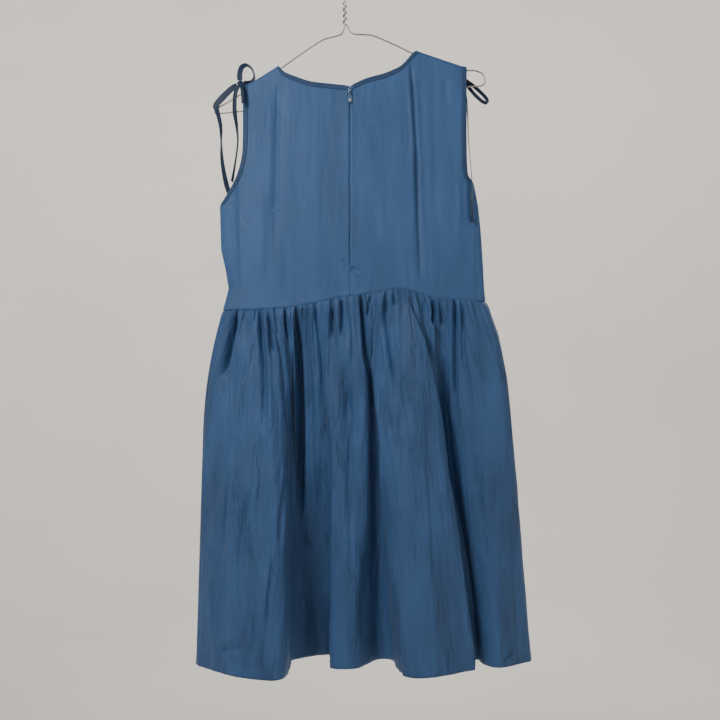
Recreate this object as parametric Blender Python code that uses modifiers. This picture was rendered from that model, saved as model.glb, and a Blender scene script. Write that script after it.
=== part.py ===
"""Sleeveless midi dress with a gathered skirt and shoulder ties, on a twisted wire hanger.

Units in the tables are millimetres; meshes are written in metres.
Origin: inner top of the hanger's hook. X runs along the shoulders, Z is up,
the back of the dress (with the zip) faces -Y.
"""
import math

import bmesh
import bpy
from mathutils import Vector

MM = 0.001

# Cloth
CLOTH = 1.4            # wall of the cloth panels
SEAM_GAP = 0.3         # space left between pieces that are sewn or lie together
BINDING_WIDTH = 7.5    # bound edges of neck and armholes
BINDING_WALL = 1.0
BINDING_END = 5.0      # the neck binding stops this far from the centre back seam
CENTRE_BACK = 8.0      # X of the centre back seam

# Divisions of the bodice's panels
SIDE_ROWS = 6
ARMHOLE_ROWS = 9
SHOULDER_COLUMNS = 3
NECK_COLUMNS = 6
FRONT_NECK_COLUMNS = 11

# Zip
ZIP_ROWS = (2, -1)     # rows of the bodice that the zip tape spans
ZIP_TAPE_WIDTH = 24.0
ZIP_TAPE_WALL = 1.2
SLIDER_SIZE = (5.6, 1.8, 9.0)
SLIDER_CENTRE = (8.0, -10.95, -207.9)
PULL_AXIS = (8.0, -12.85, -208.5)
PULL_WALL = 0.9
BRIDGE_WIRE = 1.0

# Hanger
WIRE = 2.4
HOOK_RADIUS = 20.0
TWIST_TOP = -62.0
TWIST_BOTTOM = -97.0
TWIST_TURNS = 3.5
TWIST_STEPS = 8        # points on each turn of the twist

# Ties
STRAP_WIDTH = 6.5
STRAP_WALL = 1.2
TAIL_TUBE = 3.0
LEFT_KNOT = (-167.2, -2.0, -194.6)
RIGHT_KNOT = (189.0, 11.3, -182.0)
LEFT_KNOT_RADIUS = 5.0
RIGHT_KNOT_RADIUS = 4.5
END_KNOT_RADIUS = 3.2

# Skirt
GATHERS = 38           # on each of the two panels
POINTS_A_GATHER = 4
MID_LEVEL = 0.35       # share of the skirt's height at which the folds are full
HEM = -1118.0
FINE_ROWS = (0.0, 0.03, 0.09)
COARSE_ROWS = (0.17, 0.28, 0.42, 0.58, 0.79, 1.0)

# Outline of the bodice: height, X of the left side, X of the right side
SILHOUETTE = (
    (-120, -200, 205), (-350, -200, 205), (-391, -200, 213), (-430, -199, 217),
    (-460, -198, 219), (-492, -191, 221), (-522, -186, 222), (-558, -195, 225),
)

# Half depth of the bodice: distance below the shoulder line, back, front
DEPTH = (
    (0, 1.55, 1.55), (3.5, 4.1, 4.1), (30, 7.2, 8.2), (100, 13.0, 16.0),
    (200, 18.0, 22.0), (300, 21.0, 24.0), (420, 22.0, 23.0),
)
SHOULDER_LINE = ((-205, -222), (-163, -198), (-144, -189), (-107, -166), (115, -142),
                 (184, -165.5), (194, -168), (230, -178))

# Waist seam: X, height at the back, height at the front
WAIST = (
    (-200, -557, -557), (-140, -557, -556), (-88, -554, -554), (-52, -548, -552),
    (-3, -537, -548), (40, -532, -546), (78, -524, -544), (102, -526, -543),
    (140, -538, -543), (170, -541, -543), (230, -543, -543),
)

# Cut edges as X, height, read from the underarm up
LEFT_SIDE = ((-195, -557), (-186, -522), (-191, -492), (-198, -460), (-199, -430), (-200, -391))
LEFT_ARMHOLE_BACK = ((-200, -391), (-187, -372), (-174, -348), (-166, -324), (-162.5, -300),
                     (-162, -250), (-163, -198))
LEFT_ARMHOLE_FRONT = ((-200, -391), (-190, -376), (-172, -352), (-158, -322), (-153, -285),
                      (-155, -240), (-163, -198))
RIGHT_SIDE = ((210, -543), (209, -492), (208, -444), (208, -400), (205, -352))
RIGHT_ARMHOLE_BACK = ((205, -352), (199, -347), (195, -337), (193.5, -300), (193.5, -210), (194, -168))
RIGHT_ARMHOLE_FRONT = ((205, -352), (197, -345), (189, -325), (184, -290), (184, -230),
                       (188, -195), (194, -168))
LEFT_SHOULDER = ((-163, -198), (-144, -189), (-107, -166))
RIGHT_SHOULDER = ((194, -168), (184, -165.5), (115, -142))
NECK_BACK_LEFT = ((-107, -166), (-96, -177), (-75, -186), (-53, -193), (-20, -197), (8, -200))
NECK_BACK_RIGHT = ((115, -142), (109, -146), (93, -164), (83, -171), (62, -180), (34, -188), (8, -200))
NECK_FRONT = ((-107, -166), (-98, -186), (-76, -212), (-40, -234), (8, -243), (52, -232),
              (86, -204), (106, -170), (115, -142))
# Soft folds of the bodice back: X and height of the top, of the bottom, depth, half width, step
BODICE_FOLDS = (
    (-109, -205, -112, -450, 2.2, 16, 0.0),
    (107, -172, 115, -520, 2.0, 18, 4.0),
    (-150, -330, -158, -540, 1.8, 14, 0.0),
)

# Folds of the skirt, once round from the left seam over the back:
# X at the waist, X and Y at the middle, X and Y at the hem
BACK_FOLDS = (
    (-195, -227, -2, -236, -12),      # left seam
    (-182, -210, -18, -211, -40),
    (-160, -176, -38, -171, -70),     # broad left fold
    (-136, -136, -48, -124, -88),
    (-120, -105, -44, -97, -86),
    (-101, -90, -22, -85, -44),       # wall of the deep valley
    (-84, -87, 2, -83, 0),
    (-70, -76, 6, -62, 22),
    (-56, -54, -2, -38, 30),
    (-42, -30, -8, -12, 16),
    (-24, -23, -20, -23, -26),        # front edge of the middle fold
    (-11, -7, -30, -7, -38),
    (4, 16, -32, 19, -34),
    (17, 35, -26, 33, -18),
    (29, 41, -12, 53, 8),             # pocket beside the right fold
    (41, 46, -10, 75, 2),
    (62, 54, -28, 86, -58),           # left edge of the right fold
    (78, 80, -46, 106, -80),
    (96, 114, -48, 139, -76),
    (113, 138, -40, 178, -54),
    (128, 152, -24, 205, -34),        # right edge of the right fold
    (145, 147, -6, 187, -2),
    (157, 160, 0, 204, 8),
    (176, 186, -14, 224, -22),
    (193, 216, -22, 246, -32),
    (210, 257, -12, 276, -14),        # right seam
)
FRONT_FOLDS = (
    (225, 268, 2, 298, 4), (218, 256, 22, 291, 36), (202, 233, 32, 271, 62),
    (184, 209, 22, 245, 44), (166, 185, 14, 216, 22), (150, 166, 26, 193, 50),
    (130, 142, 34, 164, 66), (108, 115, 24, 133, 42), (90, 92, 12, 105, 10),
    (72, 70, 24, 80, 40), (50, 45, 34, 54, 66), (28, 19, 28, 24, 56),
    (10, -4, 20, 1, 38), (-12, -28, 28, -26, 58), (-38, -55, 34, -56, 66),
    (-60, -82, 24, -85, 46), (-78, -103, 12, -112, 14), (-100, -130, 24, -144, 44),
    (-128, -162, 32, -176, 64), (-154, -191, 26, -204, 50), (-178, -218, 14, -228, 16),
)

# Height of the gathers' waves: share of the skirt's height, single gathers, merged pairs
GATHER_WAVE = ((0.0, 1.5, 0.0), (0.03, 3.6, 0.4), (0.09, 3.4, 1.4), (0.17, 1.9, 2.4),
               (0.28, 0.6, 2.6), (0.42, 0.0, 1.8), (0.58, 0.0, 0.8), (0.79, 0.0, 0.3), (1.0, 0.0, 0.0))

COLOURS = {
    "cloth": ((0.058, 0.135, 0.275, 1), 0.55, 0.0),
    "binding": ((0.040, 0.100, 0.215, 1), 0.6, 0.0),
    "strap": ((0.034, 0.080, 0.170, 1), 0.6, 0.0),
    "tape": ((0.045, 0.110, 0.230, 1), 0.8, 0.0),
    "painted metal": ((0.075, 0.150, 0.260, 1), 0.3, 0.6),
    "wire": ((0.33, 0.32, 0.31, 1), 0.35, 1.0),
}


# Small tools

def clear_scene():
    for obj in list(bpy.data.objects):
        bpy.data.objects.remove(obj, do_unlink=True)


def material(kind, name):
    colour, roughness, metallic = COLOURS[kind]
    made = bpy.data.materials.new(name)
    made.use_nodes = True
    shader = made.node_tree.nodes["Principled BSDF"]
    shader.inputs["Base Color"].default_value = colour
    shader.inputs["Roughness"].default_value = roughness
    shader.inputs["Metallic"].default_value = metallic
    made.diffuse_color = colour
    return made


def add_object(name, data, kind, collection):
    obj = bpy.data.objects.new(name, data)
    data.materials.append(material(kind, name))
    collection.objects.link(obj)
    return obj


def smooth_step(t):
    t = min(max(t, 0.0), 1.0)
    return t * t * (3 - 2 * t)


def lookup(table, at, column=1):
    """Read a column of a table at a value of its first column, with straight steps between rows."""
    rows = sorted(table)
    if at <= rows[0][0]:
        return rows[0][column]
    for low, high in zip(rows, rows[1:]):
        if at <= high[0]:
            share = (at - low[0]) / (high[0] - low[0])
            return low[column] + share * (high[column] - low[column])
    return rows[-1][column]


def spline_point(before, start, end, after, t):
    """A point of a Catmull-Rom curve between start and end."""
    result = []
    for a, b, c, d in zip(before, start, end, after):
        result.append(0.5 * (2 * b + (c - a) * t + (2 * a - 5 * b + 4 * c - d) * t * t
                             + (3 * b - a - 3 * c + d) * t ** 3))
    return tuple(result)


def smooth_route(points, steps):
    """Points of a smooth curve through a route, with this many steps between two of them."""
    ends = [points[0]] + list(points) + [points[-1]]
    route = []
    for i in range(len(points) - 1):
        for k in range(steps):
            route.append(spline_point(ends[i], ends[i + 1], ends[i + 2], ends[i + 3], k / steps))
    route.append(tuple(points[-1]))
    return route


def evenly(points, count):
    """Points at equal spacing along a line of straight pieces, both ends included."""
    lengths = [0.0]
    for a, b in zip(points, points[1:]):
        lengths.append(lengths[-1] + math.dist(a, b))
    result = []
    for k in range(count + 1):
        at = lengths[-1] * k / count
        i = 0
        while i < len(points) - 2 and lengths[i + 1] < at:
            i += 1
        share = (at - lengths[i]) / (lengths[i + 1] - lengths[i])
        result.append(tuple(a + share * (b - a) for a, b in zip(points[i], points[i + 1])))
    return result


def stretch(*pieces):
    """One edge from (points, count) pieces, each divided evenly, so that corners stay."""
    edge = []
    for points, count in pieces:
        edge += evenly(smooth_route(points, 6), count)[:-1]
    edge.append(tuple(pieces[-1][0][-1]))
    return edge


# The bodice as a surface of angle and height: angle 0 is the left side,
# half a turn over the back is the right side, the rest is the front

def ring_size(z):
    left = lookup(SILHOUETTE, z, 1)
    right = lookup(SILHOUETTE, z, 2)
    return (left + right) / 2, (right - left) / 2


def angle_at(x, z, front):
    centre, half = ring_size(z)
    angle = math.acos(min(max((centre - x) / half, -1.0), 1.0))
    return 2 * math.pi - angle if front else angle


def fold_depth(x, z):
    depth = 0.0
    for x_top, z_top, x_low, z_low, deep, wide, step in BODICE_FOLDS:
        share = (z - z_top) / (z_low - z_top)
        fade = smooth_step(share * 5 + 0.2) * smooth_step((1.0 - share) * 4)
        off = (x - (x_top + share * (x_low - x_top))) / wide
        depth += fade * deep * math.exp(-off * off)
        if step and off > 0:
            depth += fade * step * smooth_step(off) * smooth_step((194 - x) / 40)
    return depth


def bodice_point(angle, z):
    centre, half = ring_size(z)
    x = centre - half * math.cos(angle)
    below = max(lookup(SHOULDER_LINE, x) - z, 0.0)
    front = angle % (2 * math.pi) > math.pi
    depth = lookup(DEPTH, below, 2 if front else 1)
    round_off = abs(math.sin(angle)) ** 0.6
    depth *= 1 - (1 - round_off) * min(below / 80, 1.0)
    if not front:
        depth -= fold_depth(x, z) * min(below / 30, 1.0) * round_off
    return Vector((x, depth if front else -depth, z))


def bodice_surface(angle, z):
    """A point of the bodice's outer face, and the level direction out of the cloth."""
    ahead = bodice_point(angle + 0.02, z) - bodice_point(angle - 0.02, z)
    return bodice_point(angle, z), Vector((ahead.y, -ahead.x, 0)).normalized()


def coons(left, top, right, bottom):
    """Rows of (angle, height) between four edges; left and right run up, top and bottom run right."""
    across = len(top) - 1
    up = len(left) - 1
    rows = []
    for j in range(up + 1):
        v = j / up
        row = []
        for i in range(across + 1):
            u = i / across
            cell = []
            for k in range(2):
                sides = (1 - u) * left[j][k] + u * right[j][k]
                ends = (1 - v) * bottom[i][k] + v * top[i][k]
                corners = ((1 - u) * (1 - v) * bottom[0][k] + u * (1 - v) * bottom[-1][k]
                           + (1 - u) * v * top[0][k] + u * v * top[-1][k])
                cell.append(sides + ends - corners)
            row.append(tuple(cell))
        rows.append(row)
    return rows


# Walls between an outer and an inner sheet of points

def strip(mesh, low, high, flip):
    faces = []
    if len(low) == len(high):
        for i in range(len(low) - 1):
            faces.append((low[i], low[i + 1], high[i + 1]))
            faces.append((low[i], high[i + 1], high[i]))
    else:
        # the upper row has two points for each one of the lower row
        for i in range(len(low) - 1):
            faces.append((low[i], high[2 * i + 1], high[2 * i]))
            faces.append((low[i], low[i + 1], high[2 * i + 1]))
            faces.append((low[i + 1], high[2 * i + 2], high[2 * i + 1]))
    for face in faces:
        mesh.faces.new(tuple(reversed(face)) if flip else face)


def walled_sheet(name, outer, inner, kind, collection):
    """A closed solid from two sheets given as rows of points, lowest row first."""
    mesh = bmesh.new()
    sheets = []
    for rows in (outer, inner):
        sheets.append([[mesh.verts.new(Vector(point) * MM) for point in row] for row in rows])
    for sheet, flip in zip(sheets, (False, True)):
        for low, high in zip(sheet, sheet[1:]):
            strip(mesh, low, high, flip)
    for row, flip in ((0, True), (-1, False)):
        strip(mesh, sheets[0][row], sheets[1][row], flip)
    for side, flip in ((0, False), (-1, True)):
        strip(mesh, [row[side] for row in sheets[0]], [row[side] for row in sheets[1]], flip)
    bmesh.ops.recalc_face_normals(mesh, faces=mesh.faces)
    data = bpy.data.meshes.new(name)
    mesh.to_mesh(data)
    mesh.free()
    data.shade_smooth()
    data.set_sharp_from_angle(angle=math.radians(40))
    return add_object(name, data, kind, collection)


def layer(name, grid, kind, collection, outer_lift=0.0, inner_lift=-CLOTH):
    """A wall that follows a grid of (point, outward) between two distances from it."""
    outer = [[point + outward * outer_lift for point, outward in row] for row in grid]
    inner = [[point + outward * inner_lift for point, outward in row] for row in grid]
    return walled_sheet(name, outer, inner, kind, collection)


def surface_length(start, end):
    return (bodice_surface(*end)[0] - bodice_surface(*start)[0]).length


def towards(start, end, share):
    return tuple(a + share * (b - a) for a, b in zip(start, end))


def with_binding_line(row):
    """A row with one more point, on the inner edge of a binding that starts at its first point.

    The points of the shoulder move up to make room, and the rest stay where they are.
    """
    lengths = [0.0]
    for start, end in zip(row, row[1:]):
        lengths.append(lengths[-1] + surface_length(start, end))
    room = lengths[SHOULDER_COLUMNS]
    wanted = [0.0, BINDING_WIDTH]
    for length in lengths[1:]:
        wanted.append(BINDING_WIDTH + length * (room - BINDING_WIDTH) / room if length < room else length)
    result = []
    for at in wanted:
        i = 0
        while i < len(row) - 2 and lengths[i + 1] < at:
            i += 1
        result.append(towards(row[i], row[i + 1], (at - lengths[i]) / (lengths[i + 1] - lengths[i])))
    return result


def bodice_piece(name, rows, bound_left, bound_right, collection):
    """A panel of the bodice: its grid has lines on the bindings' inner edges."""
    if bound_left:
        rows = [with_binding_line(row) for row in rows]
    if bound_right:
        rows = [with_binding_line(row[::-1])[::-1] for row in rows]
    near_top = []
    for distance in (BINDING_WIDTH, BINDING_WIDTH / 2):
        near_top.append([towards(high, low, distance / surface_length(high, low))
                         for low, high in zip(rows[-2], rows[-1])])
    rows = rows[:-1] + near_top + rows[-1:]
    grid = [[bodice_surface(angle, z) for angle, z in row] for row in rows]
    layer(name, grid, "cloth", collection)
    return grid


# Bodice

def as_angles(points, front=False):
    return [(angle_at(x, z, front), z) for x, z in points]


def angle_edge(start, end, count, column):
    """The waist edge between two angles, with even steps of angle."""
    edge = []
    for k in range(count + 1):
        angle = start + (end - start) * k / count
        centre, half = ring_size(-545)
        z = lookup(WAIST, centre - half * math.cos(angle), column) + SEAM_GAP / 2
        edge.append((angle, z))
    return edge


def shifted(edge, angle):
    return [(a + angle, z) for a, z in edge]


def centre_edge(count):
    """The centre back seam from the waist to the neck."""
    low = lookup(WAIST, CENTRE_BACK, 1) + SEAM_GAP / 2
    return as_angles(evenly(((CENTRE_BACK, low), (CENTRE_BACK, NECK_BACK_LEFT[-1][1])), count))


def bodice_back(side, collection):
    seam = SEAM_GAP / 2
    angle_gap = seam / 200
    if side == "left":
        outer = as_angles(stretch((LEFT_SIDE, SIDE_ROWS), (LEFT_ARMHOLE_BACK, ARMHOLE_ROWS)))
        outer[0] = (outer[0][0], lookup(WAIST, -195, 1) + seam)
        outer = shifted(outer, angle_gap)
        top = as_angles(stretch((LEFT_SHOULDER, SHOULDER_COLUMNS), (NECK_BACK_LEFT, NECK_COLUMNS)))
        top = [outer[-1]] + top[1:]
        centre = shifted(centre_edge(len(outer) - 1), -angle_gap)
        top[-1] = centre[-1]
        bottom = angle_edge(outer[0][0], centre[0][0], len(top) - 1, 1)
        bottom[0] = outer[0]
        return bodice_piece("bodice_back_left", coons(outer, top, centre, bottom), 1, 0, collection)
    outer = as_angles(stretch((RIGHT_SIDE, SIDE_ROWS), (RIGHT_ARMHOLE_BACK, ARMHOLE_ROWS)))
    outer[0] = (outer[0][0], lookup(WAIST, 210, 1) + seam)
    outer = shifted(outer, -angle_gap)
    top = as_angles(stretch((RIGHT_SHOULDER, SHOULDER_COLUMNS), (NECK_BACK_RIGHT, NECK_COLUMNS)))
    top = [outer[-1]] + top[1:]
    centre = shifted(centre_edge(len(outer) - 1), angle_gap)
    top[-1] = centre[-1]
    top.reverse()
    bottom = angle_edge(centre[0][0], outer[0][0], len(top) - 1, 1)
    bottom[-1] = outer[0]
    return bodice_piece("bodice_back_right", coons(centre, top, outer, bottom), 0, 1, collection)


def bodice_front(collection):
    seam = SEAM_GAP / 2
    angle_gap = seam / 200
    left = as_angles(stretch((LEFT_SIDE, SIDE_ROWS), (LEFT_ARMHOLE_FRONT, ARMHOLE_ROWS)), True)
    left = [(min(a, 2 * math.pi) - angle_gap, z) for a, z in left]
    left[0] = (left[0][0], lookup(WAIST, -195, 2) + seam)
    right_seam = as_angles(stretch((RIGHT_SIDE, SIDE_ROWS)))
    armhole = as_angles(stretch((RIGHT_ARMHOLE_FRONT, ARMHOLE_ROWS)), True)
    right = shifted(right_seam[:-1] + armhole, angle_gap)
    right[0] = (right[0][0], lookup(WAIST, 210, 1) + seam)
    top = as_angles(stretch((LEFT_SHOULDER, SHOULDER_COLUMNS), (NECK_FRONT, FRONT_NECK_COLUMNS),
                            (tuple(reversed(RIGHT_SHOULDER)), SHOULDER_COLUMNS)), True)
    top[0] = left[-1]
    top[-1] = right[-1]
    bottom = angle_edge(right[0][0], left[0][0], len(top) - 1, 2)
    bottom[0] = right[0]
    bottom[-1] = left[0]
    top.reverse()
    return bodice_piece("bodice_front", coons(right, top, left, bottom), 1, 1, collection)


def between(start, end, distance):
    """The place on a grid's edge from start to end, at a distance from start."""
    share = distance / (end[0] - start[0]).length
    return start[0].lerp(end[0], share), start[1].lerp(end[1], share).normalized()


def binding(name, grid, collection):
    """A bound edge: a narrow strip on the panel's outer face, over the same points."""
    layer(name, grid, "binding", collection, SEAM_GAP + BINDING_WALL, SEAM_GAP)


def neck_binding(name, grid, first, last, collection, ends=(0, 0)):
    """The binding of a neck edge between two columns, stopping short by a distance at either end."""
    rows = []
    for row in grid[-3:]:
        row = list(row[first:last + 1])
        if ends[0]:
            row[0] = between(row[0], row[1], ends[0])
        if ends[1]:
            row[-1] = between(row[-1], row[-2], ends[1])
        rows.append(row)
    binding(name, rows, collection)


def armhole_binding(name, grid, side, collection):
    """The binding of the armhole edge, which is the upper part of a panel's outer column."""
    columns = slice(0, 2) if side == 0 else slice(-2, None)
    binding(name, [row[columns] for row in grid[SIDE_ROWS:]], collection)


def bindings(left, right, front, collection):
    shoulder = SHOULDER_COLUMNS + 1
    across = len(left[0]) - 1
    neck_binding("neck_binding_back_left", left, shoulder, across, collection, (0, BINDING_END))
    neck_binding("neck_binding_back_right", right, 0, across - shoulder, collection, (BINDING_END, 0))
    across = len(front[0]) - 1
    neck_binding("neck_binding_front", front, shoulder, across - shoulder, collection)
    armhole_binding("armhole_binding_left_back", left, 0, collection)
    armhole_binding("armhole_binding_left_front", front, -1, collection)
    armhole_binding("armhole_binding_right_back", right, -1, collection)
    armhole_binding("armhole_binding_right_front", front, 0, collection)


# Skirt

def fold_point(fold, waist_y, v):
    """Where a fold's line stands at a share of the skirt's height."""
    x_waist, x_mid, y_mid, x_hem, y_hem = fold
    result = []
    for top, mid, hem in ((x_waist, x_mid, x_hem), (waist_y, y_mid, y_hem)):
        slope_low = (hem - mid) / (1 - MID_LEVEL)
        if v >= MID_LEVEL:
            result.append(mid + slope_low * (v - MID_LEVEL))
            continue
        t = v / MID_LEVEL
        slope_top = 2 * (mid - top)
        slope_mid = slope_low * MID_LEVEL
        result.append(top * (2 * t ** 3 - 3 * t * t + 1) + slope_top * (t ** 3 - 2 * t * t + t)
                      + mid * (3 * t * t - 2 * t ** 3) + slope_mid * (t ** 3 - t * t))
    return tuple(result)


def hem_shares(folds, following):
    """How far along its panel each fold lies, by the cloth's length at the hem."""
    points = [(f[3], f[4]) for f in folds] + [(following[3], following[4])]
    lengths = [0.0]
    for a, b in zip(points, points[1:]):
        lengths.append(lengths[-1] + math.dist(a, b))
    return [length / lengths[-1] for length in lengths]


def skirt_ring(v, columns):
    """Outline of the skirt at a share of its height: (x, y, panel share, panel) once round."""
    folds = BACK_FOLDS + FRONT_FOLDS
    seam = len(BACK_FOLDS) - 1
    lines = []
    for i, fold in enumerate(folds):
        front = i > seam
        angle = angle_at(fold[0], -545, front)
        waist_y = bodice_point(angle, -545).y
        lines.append(fold_point(fold, waist_y, v))
    count = len(lines)
    back_shares = hem_shares(BACK_FOLDS[:-1], BACK_FOLDS[-1])
    front_shares = hem_shares((BACK_FOLDS[-1],) + FRONT_FOLDS, BACK_FOLDS[0])
    ring = []
    for panel, (first, shares) in enumerate(((0, back_shares), (seam, front_shares))):
        for k in range(columns):
            at = k / columns
            i = 0
            while shares[i + 1] <= at:
                i += 1
            t = (at - shares[i]) / (shares[i + 1] - shares[i])
            n = first + i
            x, y = spline_point(lines[(n - 1) % count], lines[n % count],
                                lines[(n + 1) % count], lines[(n + 2) % count], t)
            ring.append((x, y, at, panel))
    return ring


def gathered(ring, v):
    """The ring with its gathers: a wave across the outline, uneven from gather to gather."""
    count = len(ring)
    single = lookup(GATHER_WAVE, v, 1)
    paired = lookup(GATHER_WAVE, v, 2)
    result = []
    for i, (x, y, at, panel) in enumerate(ring):
        x0, y0 = ring[i - 1][:2]
        x1, y1 = ring[(i + 1) % count][:2]
        out = Vector((y1 - y0, x0 - x1)).normalized()
        turn = 2 * math.pi * GATHERS * at
        uneven = 0.78 + 0.22 * math.sin(5.3 * math.pi * at + 1.1 + panel)
        wave = single * uneven * math.cos(turn)
        wave += paired * (1.1 - 0.4 * uneven) * math.cos(turn / 2 + 0.5)
        hold = smooth_step(min(at, 1 - at) * 40)
        result.append(Vector((x, y)) + out * wave * hold)
    return result


def offset_inwards(points):
    """A closed outline moved in by the cloth's wall, with mitred corners."""
    count = len(points)
    result = []
    for i, point in enumerate(points):
        before = (point - points[i - 1]).normalized()
        after = (points[(i + 1) % count] - point).normalized()
        normal = Vector((before.y + after.y, -before.x - after.x))
        normal.normalize()
        stretch_by = 1 / max(normal.dot(Vector((before.y, -before.x))), 0.55)
        result.append(point - normal * CLOTH * stretch_by)
    return result


def waist_line(*grids):
    """The sewn edge of the bodice as X and height, straight between its points."""
    points = [point for grid in grids for point, _ in grid[0]]
    line = [(point.x, point.z - SEAM_GAP) for point in points if point.x < RIGHT_SIDE[0][0] - 1]
    return line + [(RIGHT_SIDE[0][0], RIGHT_SIDE[0][1] - SEAM_GAP / 2)]


def skirt_panels(waist_back, waist_front, collection):
    half = SEAM_GAP / 2
    rows = {0: ([], []), 1: ([], [])}
    levels = [(v, GATHERS * POINTS_A_GATHER) for v in FINE_ROWS]
    levels += [(v, GATHERS * POINTS_A_GATHER // 2) for v in COARSE_ROWS]
    for v, columns in reversed(levels):
        ring = skirt_ring(v, columns)
        outer = gathered(ring, v)
        inner = offset_inwards(outer)
        tops = []
        for x, (_, _, _, panel) in zip(waist_columns(columns), ring):
            tops.append(lookup(waist_front if panel else waist_back, x))
        for panel in (0, 1):
            first = panel * columns
            for sheet, line in zip(rows[panel], (outer, inner)):
                row = []
                for k in range(columns + 1):
                    i = (first + k) % len(ring)
                    z = tops[i] + v * (HEM - tops[i])
                    row.append(Vector((line[i].x, line[i].y, z)))
                start = (row[1] - row[0]).normalized() * half
                end = (row[-2] - row[-1]).normalized() * half
                row[0] = row[0] + Vector((start.x, start.y, 0))
                row[-1] = row[-1] + Vector((end.x, end.y, 0))
                sheet.append(row)
    walled_sheet("skirt_back", rows[0][0], rows[0][1], "cloth", collection)
    walled_sheet("skirt_front", rows[1][0], rows[1][1], "cloth", collection)


def waist_columns(columns):
    """X at the waist of every column, once round."""
    return [point[0] for point in skirt_ring(0.0, columns)]


# Wire, ties and zip

def tube(name, route, diameter, kind, collection, resolution=2):
    curve = bpy.data.curves.new(name, "CURVE")
    curve.dimensions = "3D"
    curve.bevel_depth = diameter / 2 * MM
    curve.bevel_resolution = resolution
    curve.use_fill_caps = True
    line = curve.splines.new("POLY")
    line.points.add(len(route) - 1)
    for point, place in zip(line.points, route):
        point.co = (place[0] * MM, place[1] * MM, place[2] * MM, 1)
    line.use_smooth = True
    return add_object(name, curve, kind, collection)


def hanger(collection):
    top = WIRE / 2
    route = []
    for degrees in (205, 185, 160, 135, 110, 90, 65, 40, 15, -10, -32):
        angle = math.radians(degrees)
        radius = HOOK_RADIUS + top
        route.append((radius * math.cos(angle), 0, -HOOK_RADIUS + radius * math.sin(angle)))
    route += [(13.5, 0, -38.5), (7, 0, -45), (1.5, 0, -51), (-0.5, 0, -56), (-0.5, 0, TWIST_TOP)]
    route += [(0, 0, TWIST_BOTTOM + 14), (-0.3, 0, TWIST_BOTTOM)]
    left_arm = [(-1.5, 0, -106), (-6, 0, -115), (-18, 0, -119), (-37, 0, -125), (-72, 0, -148),
                (-107, 0, -172.8), (-150, 0, -200.6), (-188, 0, -224), (-200, 0, -231),
                (-207, 0, -235.5), (-208.5, 0, -239.5), (-205, 0, -242.3), (-194, 0, -241.3)]
    bar = [(-90, 0, -229.6), (50, 0, -214.5), (194, 0, -199.2)]
    right_arm = [(210, 0, -198.2), (219, 0, -197), (224, 0, -192), (223, 0, -184), (219, 0, -177.6),
                 (208, 0, -173.2), (196, 0, -172.6), (184, 0, -170.4), (150, 0, -159),
                 (114, 0, -148.2), (80, 0, -132), (46, 0, -117.5), (30, 0, -115.5), (14, 0, -114.5),
                 (7, 0.5, -108)]
    route += smooth_route(left_arm, 2)
    route += bar
    route += smooth_route(right_arm, 2)
    reach = WIRE + SEAM_GAP
    turns = TWIST_TURNS * TWIST_STEPS
    for k in range(int(turns) + 1):
        angle = math.radians(10) + 2 * math.pi * k / TWIST_STEPS
        rise = TWIST_BOTTOM - 3 + (TWIST_TOP - TWIST_BOTTOM) * k / turns
        route.append((reach * math.cos(angle), reach * math.sin(angle), rise))
    return tube("hanger_wire", route, WIRE, "wire", collection)


def ribbon(name, route, width_along, collection, width=STRAP_WIDTH, wall=STRAP_WALL):
    """A flat strap along a route, its width kept along one direction."""
    points = [Vector(p) for p in smooth_route(route, 2)]
    across = Vector(width_along).normalized()
    mesh = bmesh.new()
    rings = []
    for i, point in enumerate(points):
        along = (points[min(i + 1, len(points) - 1)] - points[max(i - 1, 0)]).normalized()
        side = (across - along * across.dot(along)).normalized()
        face = along.cross(side)
        corners = []
        for a, b in ((-1, -1), (1, -1), (1, 1), (-1, 1)):
            corners.append(mesh.verts.new((point + side * a * width / 2 + face * b * wall / 2) * MM))
        rings.append(corners)
    for ring, following in zip(rings, rings[1:]):
        for k in range(4):
            mesh.faces.new((ring[k], ring[(k + 1) % 4], following[(k + 1) % 4], following[k]))
    mesh.faces.new(rings[0])
    mesh.faces.new(rings[-1])
    bmesh.ops.recalc_face_normals(mesh, faces=mesh.faces)
    data = bpy.data.meshes.new(name)
    mesh.to_mesh(data)
    mesh.free()
    return add_object(name, data, "strap", collection)


def knot(name, centre, size, collection):
    mesh = bmesh.new()
    bmesh.ops.create_uvsphere(mesh, u_segments=12, v_segments=8, radius=1.0)
    for vert in mesh.verts:
        vert.co = Vector([vert.co[k] * size[k] * MM for k in range(3)])
    data = bpy.data.meshes.new(name)
    mesh.to_mesh(data)
    mesh.free()
    data.shade_smooth()
    obj = add_object(name, data, "strap", collection)
    obj.location = Vector(centre) * MM
    return obj


def from_knot(centre, *offsets):
    return [tuple(c + o for c, o in zip(centre, offset)) for offset in offsets]


def in_plane(centre, along, beside, pairs):
    """A route in the plane of two directions, from pairs of distances."""
    along = Vector(along).normalized()
    beside = Vector(beside).normalized()
    return [tuple(Vector(centre) + along * a + beside * b) for a, b in pairs]


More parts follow.
